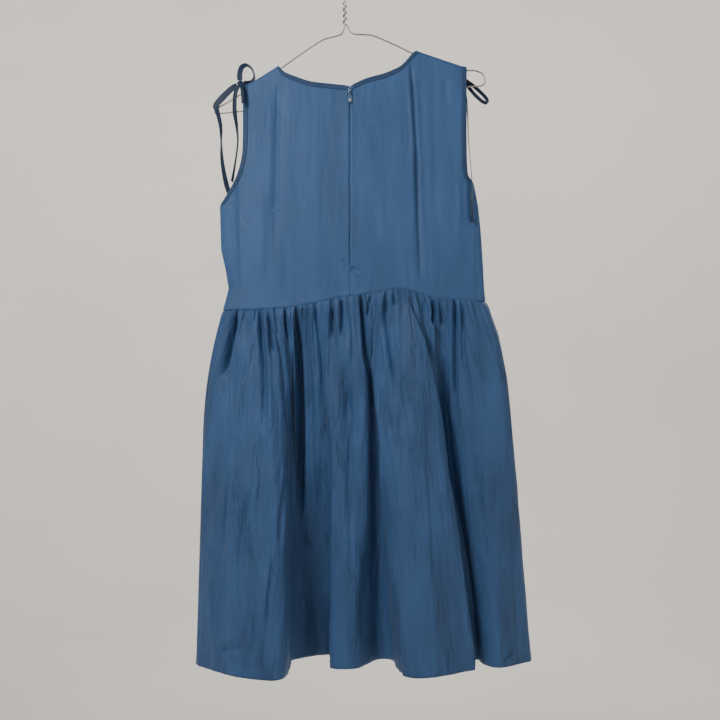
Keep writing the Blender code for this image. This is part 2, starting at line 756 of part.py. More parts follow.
def ties(collection):
    left = LEFT_KNOT
    right = RIGHT_KNOT
    knot("tie_knot_left", left, (LEFT_KNOT_RADIUS,) * 3, collection)
    knot("tie_knot_right", right, (RIGHT_KNOT_RADIUS,) * 3, collection)
    upper = in_plane(left, (0.78, 0.62, 0), (0, 0, 1),
                     ((-0.6, 5.6), (-1, 16), (3, 27), (12, 32), (22, 27), (26, 16), (20, 6), (9, 2.2), (5.6, 1.6)))
    ribbon("tie_loop_left_upper", upper, (0.62, -0.78, 0), collection)
    lower = from_knot(left, (1.2, -3.4, -4.5), (3.5, -8.5, -12), (5, -10.5, -24), (6, -12.5, -33),
                      (6, -15, -34), (5.5, -15.5, -24), (4, -12.5, -10), (2.5, -5.6, -1.6))
    ribbon("tie_loop_left_lower", lower, (1, 0.1, 0), collection, STRAP_WIDTH - 1.5)
    outward = in_plane(right, (0.707, 0, -0.707), (0.5, 0.707, 0.5),
                       ((4.6, 2.2), (16, 7), (34, 10), (50, 9), (57, 1), (50, -7), (34, -9), (16, -5.5), (4.8, -2)))
    ribbon("tie_loop_right_outer", outward, (0.5, -0.707, 0.5), collection)
    inner = from_knot(right, (-5.6, 0.6, -0.6), (-14, 3.5, -6), (-26, 4.5, -14), (-31, 6.5, -20),
                      (-27, 9, -19), (-15, 8, -9), (-5.3, 3.6, 0.6))
    ribbon("tie_loop_right_inner", inner, (0.15, 0, -0.99), collection)
    outer_tail = from_knot(left, (-5.4, 0.2, -1.6)) + [
        (-180, -3.5, -202), (-194, -4.6, -217), (-202.5, -4.6, -230), (-200.5, -4.6, -240), (-198.4, -4, -263),
        (-197.6, -3, -287), (-196, -3, -319), (-190, -3, -353), (-184, -3, -372)]
    tube("tie_tail_left_outer", smooth_route(outer_tail, 2), TAIL_TUBE, "strap", collection)
    inner_tail = from_knot(left, (-3.4, -1.2, -4.4)) + [
        (-175, -4.6, -212), (-176, -5, -238), (-172.8, -4.5, -263), (-171, -4, -287), (-174, -8, -319),
        (-179, -12.5, -353)]
    tube("tie_tail_left_inner", smooth_route(inner_tail, 2), TAIL_TUBE, "strap", collection)
    back_tail = from_knot(right, (-0.8, 4.9, -3.6)) + [
        (190.5, 18.2, -195), (195, 16.5, -212), (197.5, 11, -240), (198, 4, -280), (200, -4, -318),
        (201.5, -11.8, -350), (201, -14.3, -380), (201.5, -15.6, -410)]
    tube("tie_tail_right_back", smooth_route(back_tail, 2), TAIL_TUBE, "strap", collection)
    knot("tie_end_knot_right_back", (201.6, -15.9, -413.6), (END_KNOT_RADIUS,) * 3, collection)
    front_tail = from_knot(right, (-2.6, 0.2, -4.6)) + [
        (184, 13.5, -202), (179, 17, -228), (176, 20, -262), (176, 22, -300), (177, 22, -350)]
    tube("tie_tail_right_front", smooth_route(front_tail, 2), TAIL_TUBE, "strap", collection)
    knot("tie_end_knot_right_front", (177, 22, -353.6), (END_KNOT_RADIUS,) * 3, collection)


def zip_pieces(left, right, collection):
    half = ZIP_TAPE_WIDTH / 2
    first, last = ZIP_ROWS
    rows = []
    for row_left, row_right in zip(left[first:last], right[first:last]):
        rows.append([between(row_left[-1], row_left[-2], half), row_left[-1],
                     row_right[0], between(row_right[0], row_right[1], half)])
    lift = -CLOTH - SEAM_GAP
    layer("zip_tape", rows, "tape", collection, lift, lift - ZIP_TAPE_WALL)

    x0, y0, z0 = SLIDER_CENTRE
    mesh = bmesh.new()
    bmesh.ops.create_cube(mesh, size=1.0)
    for vert in mesh.verts:
        vert.co = Vector([vert.co[k] * SLIDER_SIZE[k] * MM for k in range(3)]) + Vector(SLIDER_CENTRE) * MM
    data = bpy.data.meshes.new("zip_slider")
    mesh.to_mesh(data)
    mesh.free()
    slider = add_object("zip_slider", data, "painted metal", collection)
    bevel = slider.modifiers.new("edges", "BEVEL")
    bevel.width = 0.4 * MM
    bevel.segments = 2

    face = y0 - SLIDER_SIZE[1] / 2
    arch = [(x0, face + 0.6, z0 + 2.6), (x0, face - 1.0, z0 + 2.5), (x0, face - 2.2, z0 + 1.9),
            (x0, face - 2.55, z0 + 0.6), (x0, face - 2.55, z0 - 2.0), (x0, face - 2.0, z0 - 3.0),
            (x0, face - 1.0, z0 - 3.5), (x0, face + 0.6, z0 - 3.6)]
    bridge = closed_mesh(tube("zip_bridge", arch, BRIDGE_WIRE, "painted metal", collection), collection)
    cutters = bpy.data.collections["cutters"]
    collection.objects.unlink(bridge)
    cutters.objects.link(bridge)
    bridge.hide_render = True
    bridge.display_type = "WIRE"
    union = slider.modifiers.new("bridge", "BOOLEAN")
    union.operation = "UNION"
    union.object = bridge

    curve = bpy.data.curves.new("zip_pull", "CURVE")
    curve.dimensions = "2D"
    curve.fill_mode = "BOTH"
    curve.extrude = PULL_WALL / 2 * MM
    side = ((1.7, 0.45), (2.1, 0.1), (2.1, -3.6), (1.5, -5.0), (1.35, -6.2), (2.0, -8.8), (2.9, -12),
            (3.4, -15), (3.1, -17.4), (2.0, -19.1))
    outline = list(side) + [(0, -19.7)] + [(-x, z) for x, z in reversed(side)]
    eye = [(-1.3, -0.45), (1.3, -0.45), (1.3, -3.6), (-1.3, -3.6)]
    for points in (outline, eye):
        line = curve.splines.new("POLY")
        line.points.add(len(points) - 1)
        for point, (x, z) in zip(line.points, points):
            point.co = (x * MM, z * MM, 0, 1)
        line.use_cyclic_u = True
    pull = add_object("zip_pull", curve, "painted metal", collection)
    pull.location = Vector(PULL_AXIS) * MM
    pull.rotation_euler = (math.radians(90), 0, 0)


def closed_mesh(obj, collection):
    """A curve object as a closed mesh of the same name."""
    name = obj.name
    graph = bpy.context.evaluated_depsgraph_get()
    data = bpy.data.meshes.new_from_object(obj.evaluated_get(graph))
    mesh = bmesh.new()
    mesh.from_mesh(data)
    bmesh.ops.remove_doubles(mesh, verts=mesh.verts, dist=0.00001)
    mesh.to_mesh(data)
    mesh.free()
    place = obj.matrix_world.copy()
    bpy.data.objects.remove(obj, do_unlink=True)
    solid = bpy.data.objects.new(name, data)
    solid.matrix_world = place
    collection.objects.link(solid)
    return solid


def main():
    clear_scene()
    dress = bpy.data.collections.new("midi dress")
    cutters = bpy.data.collections.new("cutters")
    bpy.context.scene.collection.children.link(dress)
    bpy.context.scene.collection.children.link(cutters)
    hanger(dress)
    back_left = bodice_back("left", dress)
    back_right = bodice_back("right", dress)
    front = bodice_front(dress)
    bindings(back_left, back_right, front, dress)
    skirt_panels(waist_line(back_left, back_right), waist_line(front), dress)
    ties(dress)
    zip_pieces(back_left, back_right, dress)


main()
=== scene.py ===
"""Looks of the sleeveless midi dress on its wire hanger: cloth shells, trims, ties, zip and sewing.

Tables are in millimetres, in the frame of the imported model; meshes are written in metres.
"""
import math

import bmesh
import bpy
import numpy as np
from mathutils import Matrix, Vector


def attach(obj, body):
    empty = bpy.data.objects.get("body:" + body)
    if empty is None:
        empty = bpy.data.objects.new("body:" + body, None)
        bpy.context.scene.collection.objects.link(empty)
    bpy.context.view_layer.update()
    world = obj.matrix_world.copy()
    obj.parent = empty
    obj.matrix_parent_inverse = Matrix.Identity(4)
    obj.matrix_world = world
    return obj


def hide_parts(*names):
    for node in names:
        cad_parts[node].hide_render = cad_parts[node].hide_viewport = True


bl_info = {
    "name": "Hung midi dress",
    "version": (1, 0, 0),
    "blender": (4, 5, 0),
    "location": "View3D > Sidebar > Dress",
    "description": "Builds the visible cloth, trims, ties, zip and hanger of a hung dress",
    "category": "Add Mesh",
}

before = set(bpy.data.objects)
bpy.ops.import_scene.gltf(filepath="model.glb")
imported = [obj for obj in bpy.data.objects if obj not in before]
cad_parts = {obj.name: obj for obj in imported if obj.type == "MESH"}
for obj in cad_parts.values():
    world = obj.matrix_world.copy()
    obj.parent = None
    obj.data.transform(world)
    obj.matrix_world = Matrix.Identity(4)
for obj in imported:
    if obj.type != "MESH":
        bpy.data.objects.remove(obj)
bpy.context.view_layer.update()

MM = 0.001
BODY = "dress"
PULL_BODY = "zip_pull"
SEAM = 0.15            # half of the space between pieces that are sewn together
CENTRE_BACK = 8.0
HEM = -1118.0
HEM_BAND = 13.0        # turned-up hem
GATHERS = 38
MID_LEVEL = 0.35       # share of the skirt's height where its folds have their middle places
WAIST_LEVEL = -545.0
CLOTH_WIDTH = 860.0    # flat width of a skirt panel
SKIRT_DROP = 574.5     # height of a skirt panel
THREAD = 0.00042       # from thread to thread of the weave, in metres
ZIP_TOP = -208.0
ZIP_END = -490.0
TAPE_LIFT = 1.5        # how far the zip tape lies behind the bodice's edges
NOISE_CELLS = 64
EDGE_RUN = 14          # points read inwards from an edge
SIDE_SHARE = 6         # share of a side seam in a panel's edge, beside its armhole
ARMHOLE_SHARE = 9
PULL_AXIS = (8.0, -12.85, -208.5)
VIEW_CENTRE = (24.0, -636.0)
VIEW_DISTANCE = 1500.0
FRAME_WIDTH = 1152.0

# Outline of the bodice: height, X of the left side, X of the right side
SILHOUETTE = (
    (-120, -200, 205), (-350, -200, 205), (-391, -200, 213), (-430, -199, 217),
    (-460, -198, 219), (-492, -191, 221), (-522, -186, 222), (-558, -195, 225),
)
# Half depth of the bodice: distance below the shoulder line, back, front
DEPTH = (
    (0, 1.55, 1.55), (3.5, 4.1, 4.1), (30, 7.2, 8.2), (100, 13.0, 16.0),
    (200, 18.0, 22.0), (300, 21.0, 24.0), (420, 22.0, 23.0),
)
SHOULDER_LINE = ((-205, -222), (-163, -198), (-144, -189), (-107, -166), (115, -142),
                 (184, -165.5), (194, -168), (230, -178))
# Waist seam: X, height at the back, height at the front
WAIST = (
    (-200, -557, -557), (-140, -557, -556), (-88, -554, -554), (-52, -548, -552),
    (-3, -537, -548), (40, -532, -546), (78, -524, -544), (102, -526, -543),
    (140, -538, -543), (170, -541, -543), (230, -543, -543),
)
# Cut edges as X, height, read from the underarm up
LEFT_SIDE = ((-195, -557), (-186, -522), (-191, -492), (-198, -460), (-199, -430), (-200, -391))
LEFT_ARMHOLE_BACK = ((-200, -391), (-187, -372), (-174, -348), (-166, -324), (-162.5, -300),
                     (-162, -250), (-163, -198))
LEFT_ARMHOLE_FRONT = ((-200, -391), (-190, -376), (-172, -352), (-158, -322), (-153, -285),
                      (-155, -240), (-163, -198))
RIGHT_SIDE = ((210, -543), (209, -492), (208, -444), (208, -400), (205, -352))
RIGHT_ARMHOLE_BACK = ((205, -352), (199, -347), (195, -337), (193.5, -300), (193.5, -210), (194, -168))
RIGHT_ARMHOLE_FRONT = ((205, -352), (197, -345), (189, -325), (184, -290), (184, -230),
                       (188, -195), (194, -168))
LEFT_SHOULDER = ((-163, -198), (-144, -189), (-107, -166))
RIGHT_SHOULDER = ((194, -168), (184, -165.5), (115, -142))
NECK_BACK_LEFT = ((-107, -166), (-96, -177), (-75, -186), (-53, -193), (-20, -197), (8, -200))
NECK_BACK_RIGHT = ((115, -142), (109, -146), (93, -164), (83, -171), (62, -180), (34, -188), (8, -200))
NECK_FRONT = ((-107, -166), (-98, -186), (-76, -212), (-40, -234), (8, -243), (52, -232),
              (86, -204), (106, -170), (115, -142))
# Soft folds of the bodice back: X and height of the top, of the bottom, depth, half width, step
BODICE_FOLDS = (
    (-109, -205, -112, -450, 2.2, 16, 0.0),
    (107, -172, 115, -520, 2.0, 18, 4.0),
    (-150, -330, -158, -540, 1.8, 14, 0.0),
)
# Folds of the skirt, once round from the left seam over the back:
# X at the waist, X and Y at the middle, X and Y at the hem
BACK_FOLDS = (
    (-195, -227, -2, -236, -12), (-182, -210, -18, -211, -40), (-160, -176, -38, -171, -70),
    (-136, -136, -48, -124, -88), (-120, -105, -44, -97, -86), (-101, -90, -22, -85, -44),
    (-84, -87, 2, -83, 0), (-70, -76, 6, -62, 22), (-56, -54, -2, -38, 30), (-42, -30, -8, -12, 16),
    (-24, -23, -20, -23, -26), (-11, -7, -30, -7, -38), (4, 16, -32, 19, -34), (17, 35, -26, 33, -18),
    (29, 41, -12, 53, 8), (41, 46, -10, 75, 2), (62, 54, -28, 86, -58), (78, 80, -46, 106, -80),
    (96, 114, -48, 139, -76), (113, 138, -40, 178, -54), (128, 152, -24, 205, -34),
    (145, 147, -6, 187, -2), (157, 160, 0, 204, 8), (176, 186, -14, 224, -22),
    (193, 216, -22, 246, -32), (210, 257, -12, 276, -14),
)
FRONT_FOLDS = (
    (225, 268, 2, 298, 4), (218, 256, 22, 291, 36), (202, 233, 32, 271, 62),
    (184, 209, 22, 245, 44), (166, 185, 14, 216, 22), (150, 166, 26, 193, 50),
    (130, 142, 34, 164, 66), (108, 115, 24, 133, 42), (90, 92, 12, 105, 10),
    (72, 70, 24, 80, 40), (50, 45, 34, 54, 66), (28, 19, 28, 24, 56),
    (10, -4, 20, 1, 38), (-12, -28, 28, -26, 58), (-38, -55, 34, -56, 66),
    (-60, -82, 24, -85, 46), (-78, -103, 12, -112, 14), (-100, -130, 24, -144, 44),
    (-128, -162, 32, -176, 64), (-154, -191, 26, -204, 50), (-178, -218, 14, -228, 16),
)
# Valleys between the gathers of the back skirt: X at the waist, depth, how far they run down
BACK_GATHERS = (
    (-187.6, 1.6, 30), (-181.3, 1.6, 30), (-170.2, 3, 60), (-157.6, 2, 45), (-148.1, 1.4, 25),
    (-140.2, 1.6, 30), (-132.3, 3, 60), (-120.5, 2.6, 60), (-110.2, 1.6, 40), (-94.4, 2.6, 60),
    (-85, 1.6, 30), (-77.1, 3.4, 70), (-66, 2.2, 45), (-56.5, 1.8, 30), (-47.1, 2.8, 60),
    (-36, 1.2, 25), (-20.2, 2.8, 60), (-6, 2.6, 60), (6.6, 1.2, 25), (14.5, 1.2, 25),
    (25.6, 3, 60), (33.5, 2.2, 30), (44.5, 1.3, 25), (65.1, 3, 60), (77.7, 1.8, 30),
    (90.3, 1.6, 30), (101.4, 1.2, 20), (114, 2.4, 50), (125.1, 2.4, 50), (136.1, 2.8, 60),
    (144, 2, 40), (153.5, 2.4, 50), (163, 1.4, 25), (174, 2.8, 60), (183.5, 2.4, 50),
    (193, 1.4, 25), (202.4, 1.4, 25),
)
# Creases pressed into the back skirt: depth, half width, places (X, height) along it in the back view
SKIRT_CREASES = (
    (4.2, 5, (-173, -563), (-188, -629), (-200, -671)),
    (3.6, 3.5, (-134, -563), (-129, -654), (-127, -758)), (2.6, 3, (-122, -563), (-118, -630)),
    (1.6, 2.6, (-113, -590), (-103, -630)), (1.3, 4, (-103, -623), (-98, -705)),
    (2.8, 3, (-96, -559), (-91, -609)), (1.6, 3.2, (-50, -558), (-49, -618), (-45, -680)),
    (3, 3, (-20, -554), (-20, -606)), (2.6, 2.6, (-5, -540), (-6, -602)), (1.8, 8, (3, -687), (10, -780)),
    (3.2, 12, (-2, -640), (6, -760), (12, -900), (16, -960)), (1.6, 5, (-183, -644), (-181, -809)),
    (1.3, 5, (-150, -570), (-157, -620)),
    (6.5, 4.5, (-79, -556), (-76, -610), (-73, -690), (-71, -790), (-72, -900)),
    (3.5, 7, (-66, -560), (-60, -640), (-58, -760)),
    (3.6, 3.5, (25, -534), (32, -580), (34, -625), (43, -663)),
    (2.2, 3, (43, -655), (46, -702), (52, -748), (56, -820)), (2.6, 2.6, (41, -532), (35, -569)),
    (3.6, 3.5, (65, -530), (69, -603), (78, -660), (83, -705)), (1.5, 2, (78, -532), (80, -548)),
    (1.6, 2, (91, -658), (106, -687)), (1, 3, (106, -687), (124, -762)),
    (3, 4, (124, -540), (134, -601), (144, -650)), (3, 3, (142, -538), (139, -582)),
    (2.2, 2.6, (150, -538), (155, -585)), (3, 3, (176, -538), (176, -609), (176, -713)),
    (2.2, 2.6, (186, -545), (191, -625), (200, -681), (208, -737)), (1, 1.6, (194, -727), (206, -732)),
    (1.4, 7, (91, -713), (87, -790)), (1.6, 6, (6, -633), (4, -732)), (1.5, 5, (21, -687), (19, -770)),
    (1.6, 3, (-183, -809), (-192, -886), (-197, -972)), (1.6, 5, (-149, -838), (-165, -906), (-172, -977)),
    (1.2, 2, (-136, -834), (-140, -865)), (1.6, 3, (-95, -815), (-104, -886), (-104, -950)),
    (1.8, 3, (-114, -953), (-122, -1014), (-127, -1084)), (1.2, 2, (-145, -1039), (-146, -1084)),
    (1.3, 2, (-217, -945), (-201, -966)), (1.6, 3, (-213, -994), (-210, -1079)),
    (3.2, 5, (-200, -1103), (-181, -1098), (-158, -1092)), (1.2, 2, (-131, -1090), (-133, -1129)),
    (1.3, 1.6, (-45, -972), (-26, -979)), (1, 1.6, (-29, -916), (-26, -938)),
    (1.8, 6, (36, -943), (29, -1036), (29, -1094)), (1.2, 3, (9, -916), (8, -983)),
    (1.3, 1.6, (112, -946), (132, -929)), (1, 1.6, (113, -860), (120, -873)),
    (1, 1.6, (118, -1017), (129, -1009)), (0.9, 2.4, (90, -1058), (126, -1054), (179, -1047)),
    (0.7, 2.4, (112, -1036), (166, -1026)), (1.4, 1.6, (104, -1055), (108, -1046)),
    (1.3, 2, (211, -822), (220, -863), (209, -898)), (1.5, 2, (272, -1066), (288, -1063)),
    (1.6, 2, (266, -1103), (283, -1094)), (1.4, 2, (256, -1121), (269, -1102)),
    (1, 2, (166, -1137), (168, -1103), (190, -1098)), (1.1, 2, (93, -1114), (110, -1110)),
)
# Lapped folds of the back skirt: rise of the fold's edge, drop past it, side of the drop (1 is right),
# reach over the fold, reach past it, places (X, height) along the edge in the back view
SKIRT_LAPS = (
    (5.0, 11.0, 1, 26, 9, (-80, -557), (-82, -604), (-80, -666), (-82, -844), (-87, -940), (-90, -1118)),
    (3.4, 8.0, -1, 20, 9, (-44, -560), (-37, -628), (-27, -748), (-22, -820), (-22, -988), (-25, -1118)),
    (3.4, 7.0, -1, 18, 10, (30, -540), (32, -566), (39, -628), (46, -676), (51, -738), (58, -844),
     (63, -916), (75, -988), (85, -1012), (92, -1118)),
    (4.0, 8.0, 1, 24, 9, (102, -535), (104, -546), (118, -580), (135, -638), (152, -724), (164, -820),
     (174, -868), (188, -940), (198, -1012), (205, -1084), (207, -1118)),
    (1.2, 2.6, -1, 12, 8, (-180, -570), (-186, -630), (-186, -796), (-195, -916), (-206, -1000)),
    (1.4, 3.0, -1, 14, 7, (-134, -565), (-133, -640), (-130, -760), (-140, -900)),
    (1.2, 2.4, -1, 12, 7, (180, -560), (188, -604), (198, -690), (207, -724), (212, -820), (217, -900)),
    (1.0, 2.2, 1, 10, 6, (8, -560), (10, -640), (6, -760), (0, -880)),
    (1.0, 2.4, 1, 9, 6, (72, -560), (80, -640), (92, -700), (104, -760)),
    (0.9, 2.0, 1, 9, 6, (128, -800), (136, -900), (140, -1010)),
    (0.9, 2.0, -1, 9, 6, (-150, -840), (-160, -930), (-164, -1030)),
)
# The same on the front skirt, which the back view hides
FRONT_LAPS = (
    (2.6, 5.2, 1, 20, 9, (-92, -560), (-98, -640), (-104, -760), (-112, -900), (-116, -1118)),
    (2.4, 4.8, -1, 16, 9, (118, -550), (116, -640), (118, -760), (124, -900), (130, -1118)),
    (1.4, 3.2, 1, 12, 8, (10, -560), (4, -680), (0, -820), (-2, -960)),
    (1.3, 2.8, -1, 12, 7, (176, -560), (186, -640), (198, -760), (214, -900)),
    (1.2, 2.6, 1, 10, 7, (-150, -570), (-164, -660), (-176, -780), (-190, -930)),
    (1.0, 2.4, -1, 10, 6, (56, -600), (58, -700), (56, -840), (60, -980)),
)
# Lapped folds of the bodice back, in the same columns
BODICE_LAPS = (
    (0.9, 3.0, 1, 16, 12, (103, -165), (110, -240), (114, -330), (116, -450), (117, -530)),
    (0.5, 1.2, 1, 12, 8, (-110, -200), (-110, -330), (-113, -500)),
    (0.4, 1.0, -1, 12, 8, (-168, -350), (-166, -430), (-163, -530)),
)
# Creases of the front skirt, which the back view hides, in the same columns
FRONT_CREASES = (
    (3.4, 4, (182, -556), (194, -630), (206, -700)), (2.6, 3, (148, -553), (156, -640)),
    (3.4, 4, (96, -553), (99, -650), (104, -760)), (2.2, 3, (60, -556), (54, -630)),
    (3, 4, (20, -556), (12, -640), (6, -740)), (2.4, 3, (-30, -560), (-36, -640)),
    (3.6, 4, (-72, -560), (-84, -660), (-92, -780)), (2.4, 3, (-118, -563), (-126, -650)),
    (3, 4, (-150, -563), (-170, -650), (-180, -700)), (1.6, 6, (130, -800), (140, -900), (146, -960)),
    (1.6, 5, (-30, -820), (-40, -930)), (1.4, 2, (40, -880), (60, -900)),
    (1.3, 2, (-130, -900), (-150, -918)), (1.8, 5, (220, -860), (232, -960)),
    (1.4, 2.4, (-60, -1050), (-20, -1056), (20, -1048)), (1.4, 2, (180, -1070), (200, -1060)),
    (1.2, 2, (-190, -1080), (-180, -1112)), (1.8, 5, (-200, -780), (-206, -880)),
)
# Creases of the bodice back, then of the front, in the same columns
BODICE_CREASES = (
    (1.7, 2.2, (-3, -476), (2, -481), (7, -489)), (1.6, 2.2, (22, -497), (15, -493), (9, -489)),
    (1.3, 2.2, (9, -489), (17, -499), (25, -509), (28, -519)), (0.7, 3, (10, -492), (7, -530)),
    (0.35, 9, (-72, -230), (-76, -330)), (0.3, 6, (-34, -330), (-38, -440)),
    (0.4, 9, (-132, -280), (-136, -360)), (0.35, 5, (48, -380), (52, -470)),
    (0.4, 5, (66, -330), (68, -440)), (0.5, 6, (78, -400), (84, -510)),
    (2.6, 2.8, (105, -172), (110, -240), (114, -330), (116, -450)),
    (1.6, 5, (113, -300), (116, -420), (119, -520)), (1.5, 4.5, (-108, -215), (-110, -330), (-112, -480)),
    (1.3, 6, (-166, -330), (-165, -430), (-163, -530)), (0.8, 5, (-120, -380), (-122, -520)),
    (0.6, 5, (140, -200), (146, -430)), (0.7, 4, (160, -190), (162, -230)),
    (0.6, 4, (127, -330), (124, -372)), (0.5, 5, (176, -300), (172, -470)),
    (0.6, 3, (186, -348), (190, -420)), (0.6, 3, (-186, -408), (-172, -470)),
    (0.5, 3, (-170, -396), (-150, -430)), (0.5, 4, (-96, -440), (-92, -530)),
    (0.4, 3, (100, -470), (104, -520)), (0.4, 3, (152, -480), (150, -530)),
)
BODICE_FRONT_CREASES = (
    (0.8, 6, (-110, -300), (-112, -500)), (0.7, 6, (-60, -280), (-62, -520)),
    (0.7, 7, (0, -270), (4, -500)), (0.8, 6, (66, -270), (70, -500)), (0.9, 7, (120, -230), (126, -520)),
    (0.7, 4, (165, -340), (172, -460)), (0.6, 3, (-180, -420), (-160, -480)),
    (0.6, 3, (196, -370), (180, -430)),
)
# Height of the gathers' waves at shares of the skirt's height: single gathers, merged pairs
GATHER_WAVE = ((0.0, 1.2, 0.0), (0.03, 2.6, 0.5), (0.09, 2.3, 1.2), (0.17, 1.2, 1.5),
               (0.28, 0.4, 1.3), (0.42, 0.0, 0.9), (0.58, 0.0, 0.4), (0.79, 0.0, 0.2), (1.0, 0.0, 0.0))


# Curves and tables

def read(table, at, column=1):
    """A column of a table at values of its first column, with straight steps between rows."""
    rows = np.array(sorted(table), dtype=float)
    return np.interp(at, rows[:, 0], rows[:, column])


def smooth_step(t):
    t = np.clip(t, 0.0, 1.0)
    return t * t * (3 - 2 * t)


def between_points(before, start, end, after, t):
    """Points of a Catmull-Rom curve between start and end."""
    return 0.5 * (2 * start + (end - before) * t + (2 * before - 5 * start + 4 * end - after) * t * t
                  + (3 * start - before - 3 * end + after) * t ** 3)


def smooth_route(points, steps):
    """A smooth curve through a route, with this many steps between two of its points."""
    route = np.array(points, dtype=float)
    route = np.vstack([route[:1], route, route[-1:]])
    t = (np.arange(steps) / steps)[:, None]
    parts = [between_points(route[i], route[i + 1], route[i + 2], route[i + 3], t)
             for i in range(len(route) - 3)]
    return np.vstack(parts + [route[-1:]])


def lengths_along(route):
    steps = np.linalg.norm(np.diff(route, axis=0), axis=1)
    return np.concatenate([[0.0], np.cumsum(steps)])


def columns_at(wanted, at, table):
    """Rows of a table between its own rows, which lie at the places in at."""
    return np.stack([np.interp(wanted, at, column) for column in table.T], axis=-1)


def unit(vectors):
    return vectors / np.maximum(np.linalg.norm(vectors, axis=-1, keepdims=True), 1e-9)


def lattice_noise(u, v, seed):
    """Smooth noise from -1 to 1 on a lattice of unit cells, the same for the same seed."""
    table = np.random.RandomState(seed).uniform(-1, 1, (NOISE_CELLS, NOISE_CELLS))
    i = np.floor(u).astype(int)
    j = np.floor(v).astype(int)
    s = smooth_step(u - i)
    t = smooth_step(v - j)

    def between_columns(row):
        row = row % NOISE_CELLS
        return table[i % NOISE_CELLS, row] * (1 - s) + table[(i + 1) % NOISE_CELLS, row] * s

    return between_columns(j) * (1 - t) + between_columns(j + 1) * t


# The bodice as a surface of angle and height: angle 0 is the left side,
# half a turn over the back is the right side, the rest is the front

def ring_size(z):
    left = read(SILHOUETTE, z, 1)
    right = read(SILHOUETTE, z, 2)
    return (left + right) / 2, (right - left) / 2


def angle_at(x, z, front):
    centre, half = ring_size(z)
    angle = np.arccos(np.clip((centre - x) / half, -1.0, 1.0))
    return 2 * math.pi - angle if front else angle


def fold_depth(x, z):
    depth = np.zeros_like(x)
    for x_top, z_top, x_low, z_low, deep, wide, step in BODICE_FOLDS:
        share = (z - z_top) / (z_low - z_top)
        fade = smooth_step(share * 5 + 0.2) * smooth_step((1.0 - share) * 4)
        off = (x - (x_top + share * (x_low - x_top))) / wide
        depth += fade * deep * np.exp(-off * off)
        if step:
            depth += fade * step * smooth_step(off) * smooth_step((194 - x) / 40)
    return depth


def bodice_points(angle, z):
    centre, half = ring_size(z)
    x = centre - half * np.cos(angle)
    below = np.maximum(read(SHOULDER_LINE, x) - z, 0.0)
    front = np.mod(angle, 2 * math.pi) > math.pi
    round_off = np.abs(np.sin(angle)) ** 0.6
    depth = np.where(front, read(DEPTH, below, 2), read(DEPTH, below, 1))
    depth = depth * (1 - (1 - round_off) * np.minimum(below / 80, 1.0))
    back = -(depth - fold_depth(x, z) * np.minimum(below / 30, 1.0) * round_off)
    return np.stack([x, np.where(front, depth, back), z], axis=-1)


class Edge:
    """An edge of a bodice panel: places of (angle, height) against a share from 0 to 1."""

    def __init__(self, at, line):
        self.at = at
        self.line = line

    def reversed(self):
        return Edge(1 - self.at[::-1], self.line[::-1])

    def places(self, shares):
        return columns_at(shares, self.at, self.line)


def cut_edge(*pieces):
    """An edge along cut lines; each comes with its share of the edge and whether it is in front."""
    at = []
    line = []
    start = 0.0
    total = sum(share for _, share, _ in pieces)
    for points, share, front in pieces:
        route = smooth_route(points, 12)
        lengths = lengths_along(route)
        at.append(start + share / total * lengths / lengths[-1])
        line.append(np.stack([angle_at(route[:, 0], route[:, 1], front), route[:, 1]], axis=1))
        start += share / total
    return Edge(np.concatenate(at), np.vstack(line))


def waist_edge(start, end, column):
    """The waist edge between two angles."""
    at = np.linspace(0, 1, 200)
    angle = start + (end - start) * at
    centre, half = ring_size(WAIST_LEVEL)
    height = read(WAIST, centre - half * np.cos(angle), column) + SEAM
    return Edge(at, np.stack([angle, height], axis=1))


def coons(left, top, right, bottom, across, up):
    """A grid of (angle, height) between four edges."""
    lefts = left.places(up)[:, None, :]
    rights = right.places(up)[:, None, :]
    tops = top.places(across)[None, :, :]
    bottoms = bottom.places(across)[None, :, :]
    u = across[None, :, None]
    v = up[:, None, None]
    corners = ((1 - u) * (1 - v) * bottoms[:, :1] + u * (1 - v) * bottoms[:, -1:]
               + (1 - u) * v * tops[:, :1] + u * v * tops[:, -1:])
    return (1 - u) * lefts + u * rights + (1 - v) * bottoms + v * tops - corners


def divisions(count, length, close=(0.5, 1.1, 2.0)):
    """Shares from 0 to 1, with more of them near both ends."""
    near = np.array(close) / length
    inner = np.linspace(0, 1, count + 1)
    inner = inner[(inner > near[-1] * 1.3) & (inner < 1 - near[-1] * 1.3)]
    return np.concatenate([[0.0], near, inner, 1 - near[::-1], [1.0]])


# Grids of points

def grid_normals(points):
    """Outward directions of a grid whose columns run to the right and whose rows run up."""
    return unit(np.cross(np.gradient(points, axis=1), np.gradient(points, axis=0)))


def path_lengths(points, axis):
    steps = np.linalg.norm(np.diff(points, axis=axis), axis=2)
    shape = list(steps.shape)
    shape[axis] = 1
    return np.concatenate([np.zeros(shape), np.cumsum(steps, axis=axis)], axis=axis)


def edge_distances(points):
    """Distance of every point from the left, right, lower and upper edge, along the cloth."""
    across = path_lengths(points, 1)
    up = path_lengths(points, 0)
    return across, across[:, -1:] - across, up, up[-1:, :] - up


def seen_from_back(points):
    """X and height as the back view shows them, on the plane through the hanger."""
    scale = 1 + points[..., 1] / VIEW_DISTANCE
    x = VIEW_CENTRE[0] + (points[..., 0] - VIEW_CENTRE[0]) / scale
    z = VIEW_CENTRE[1] + (points[..., 2] - VIEW_CENTRE[1]) / scale
    return x, z


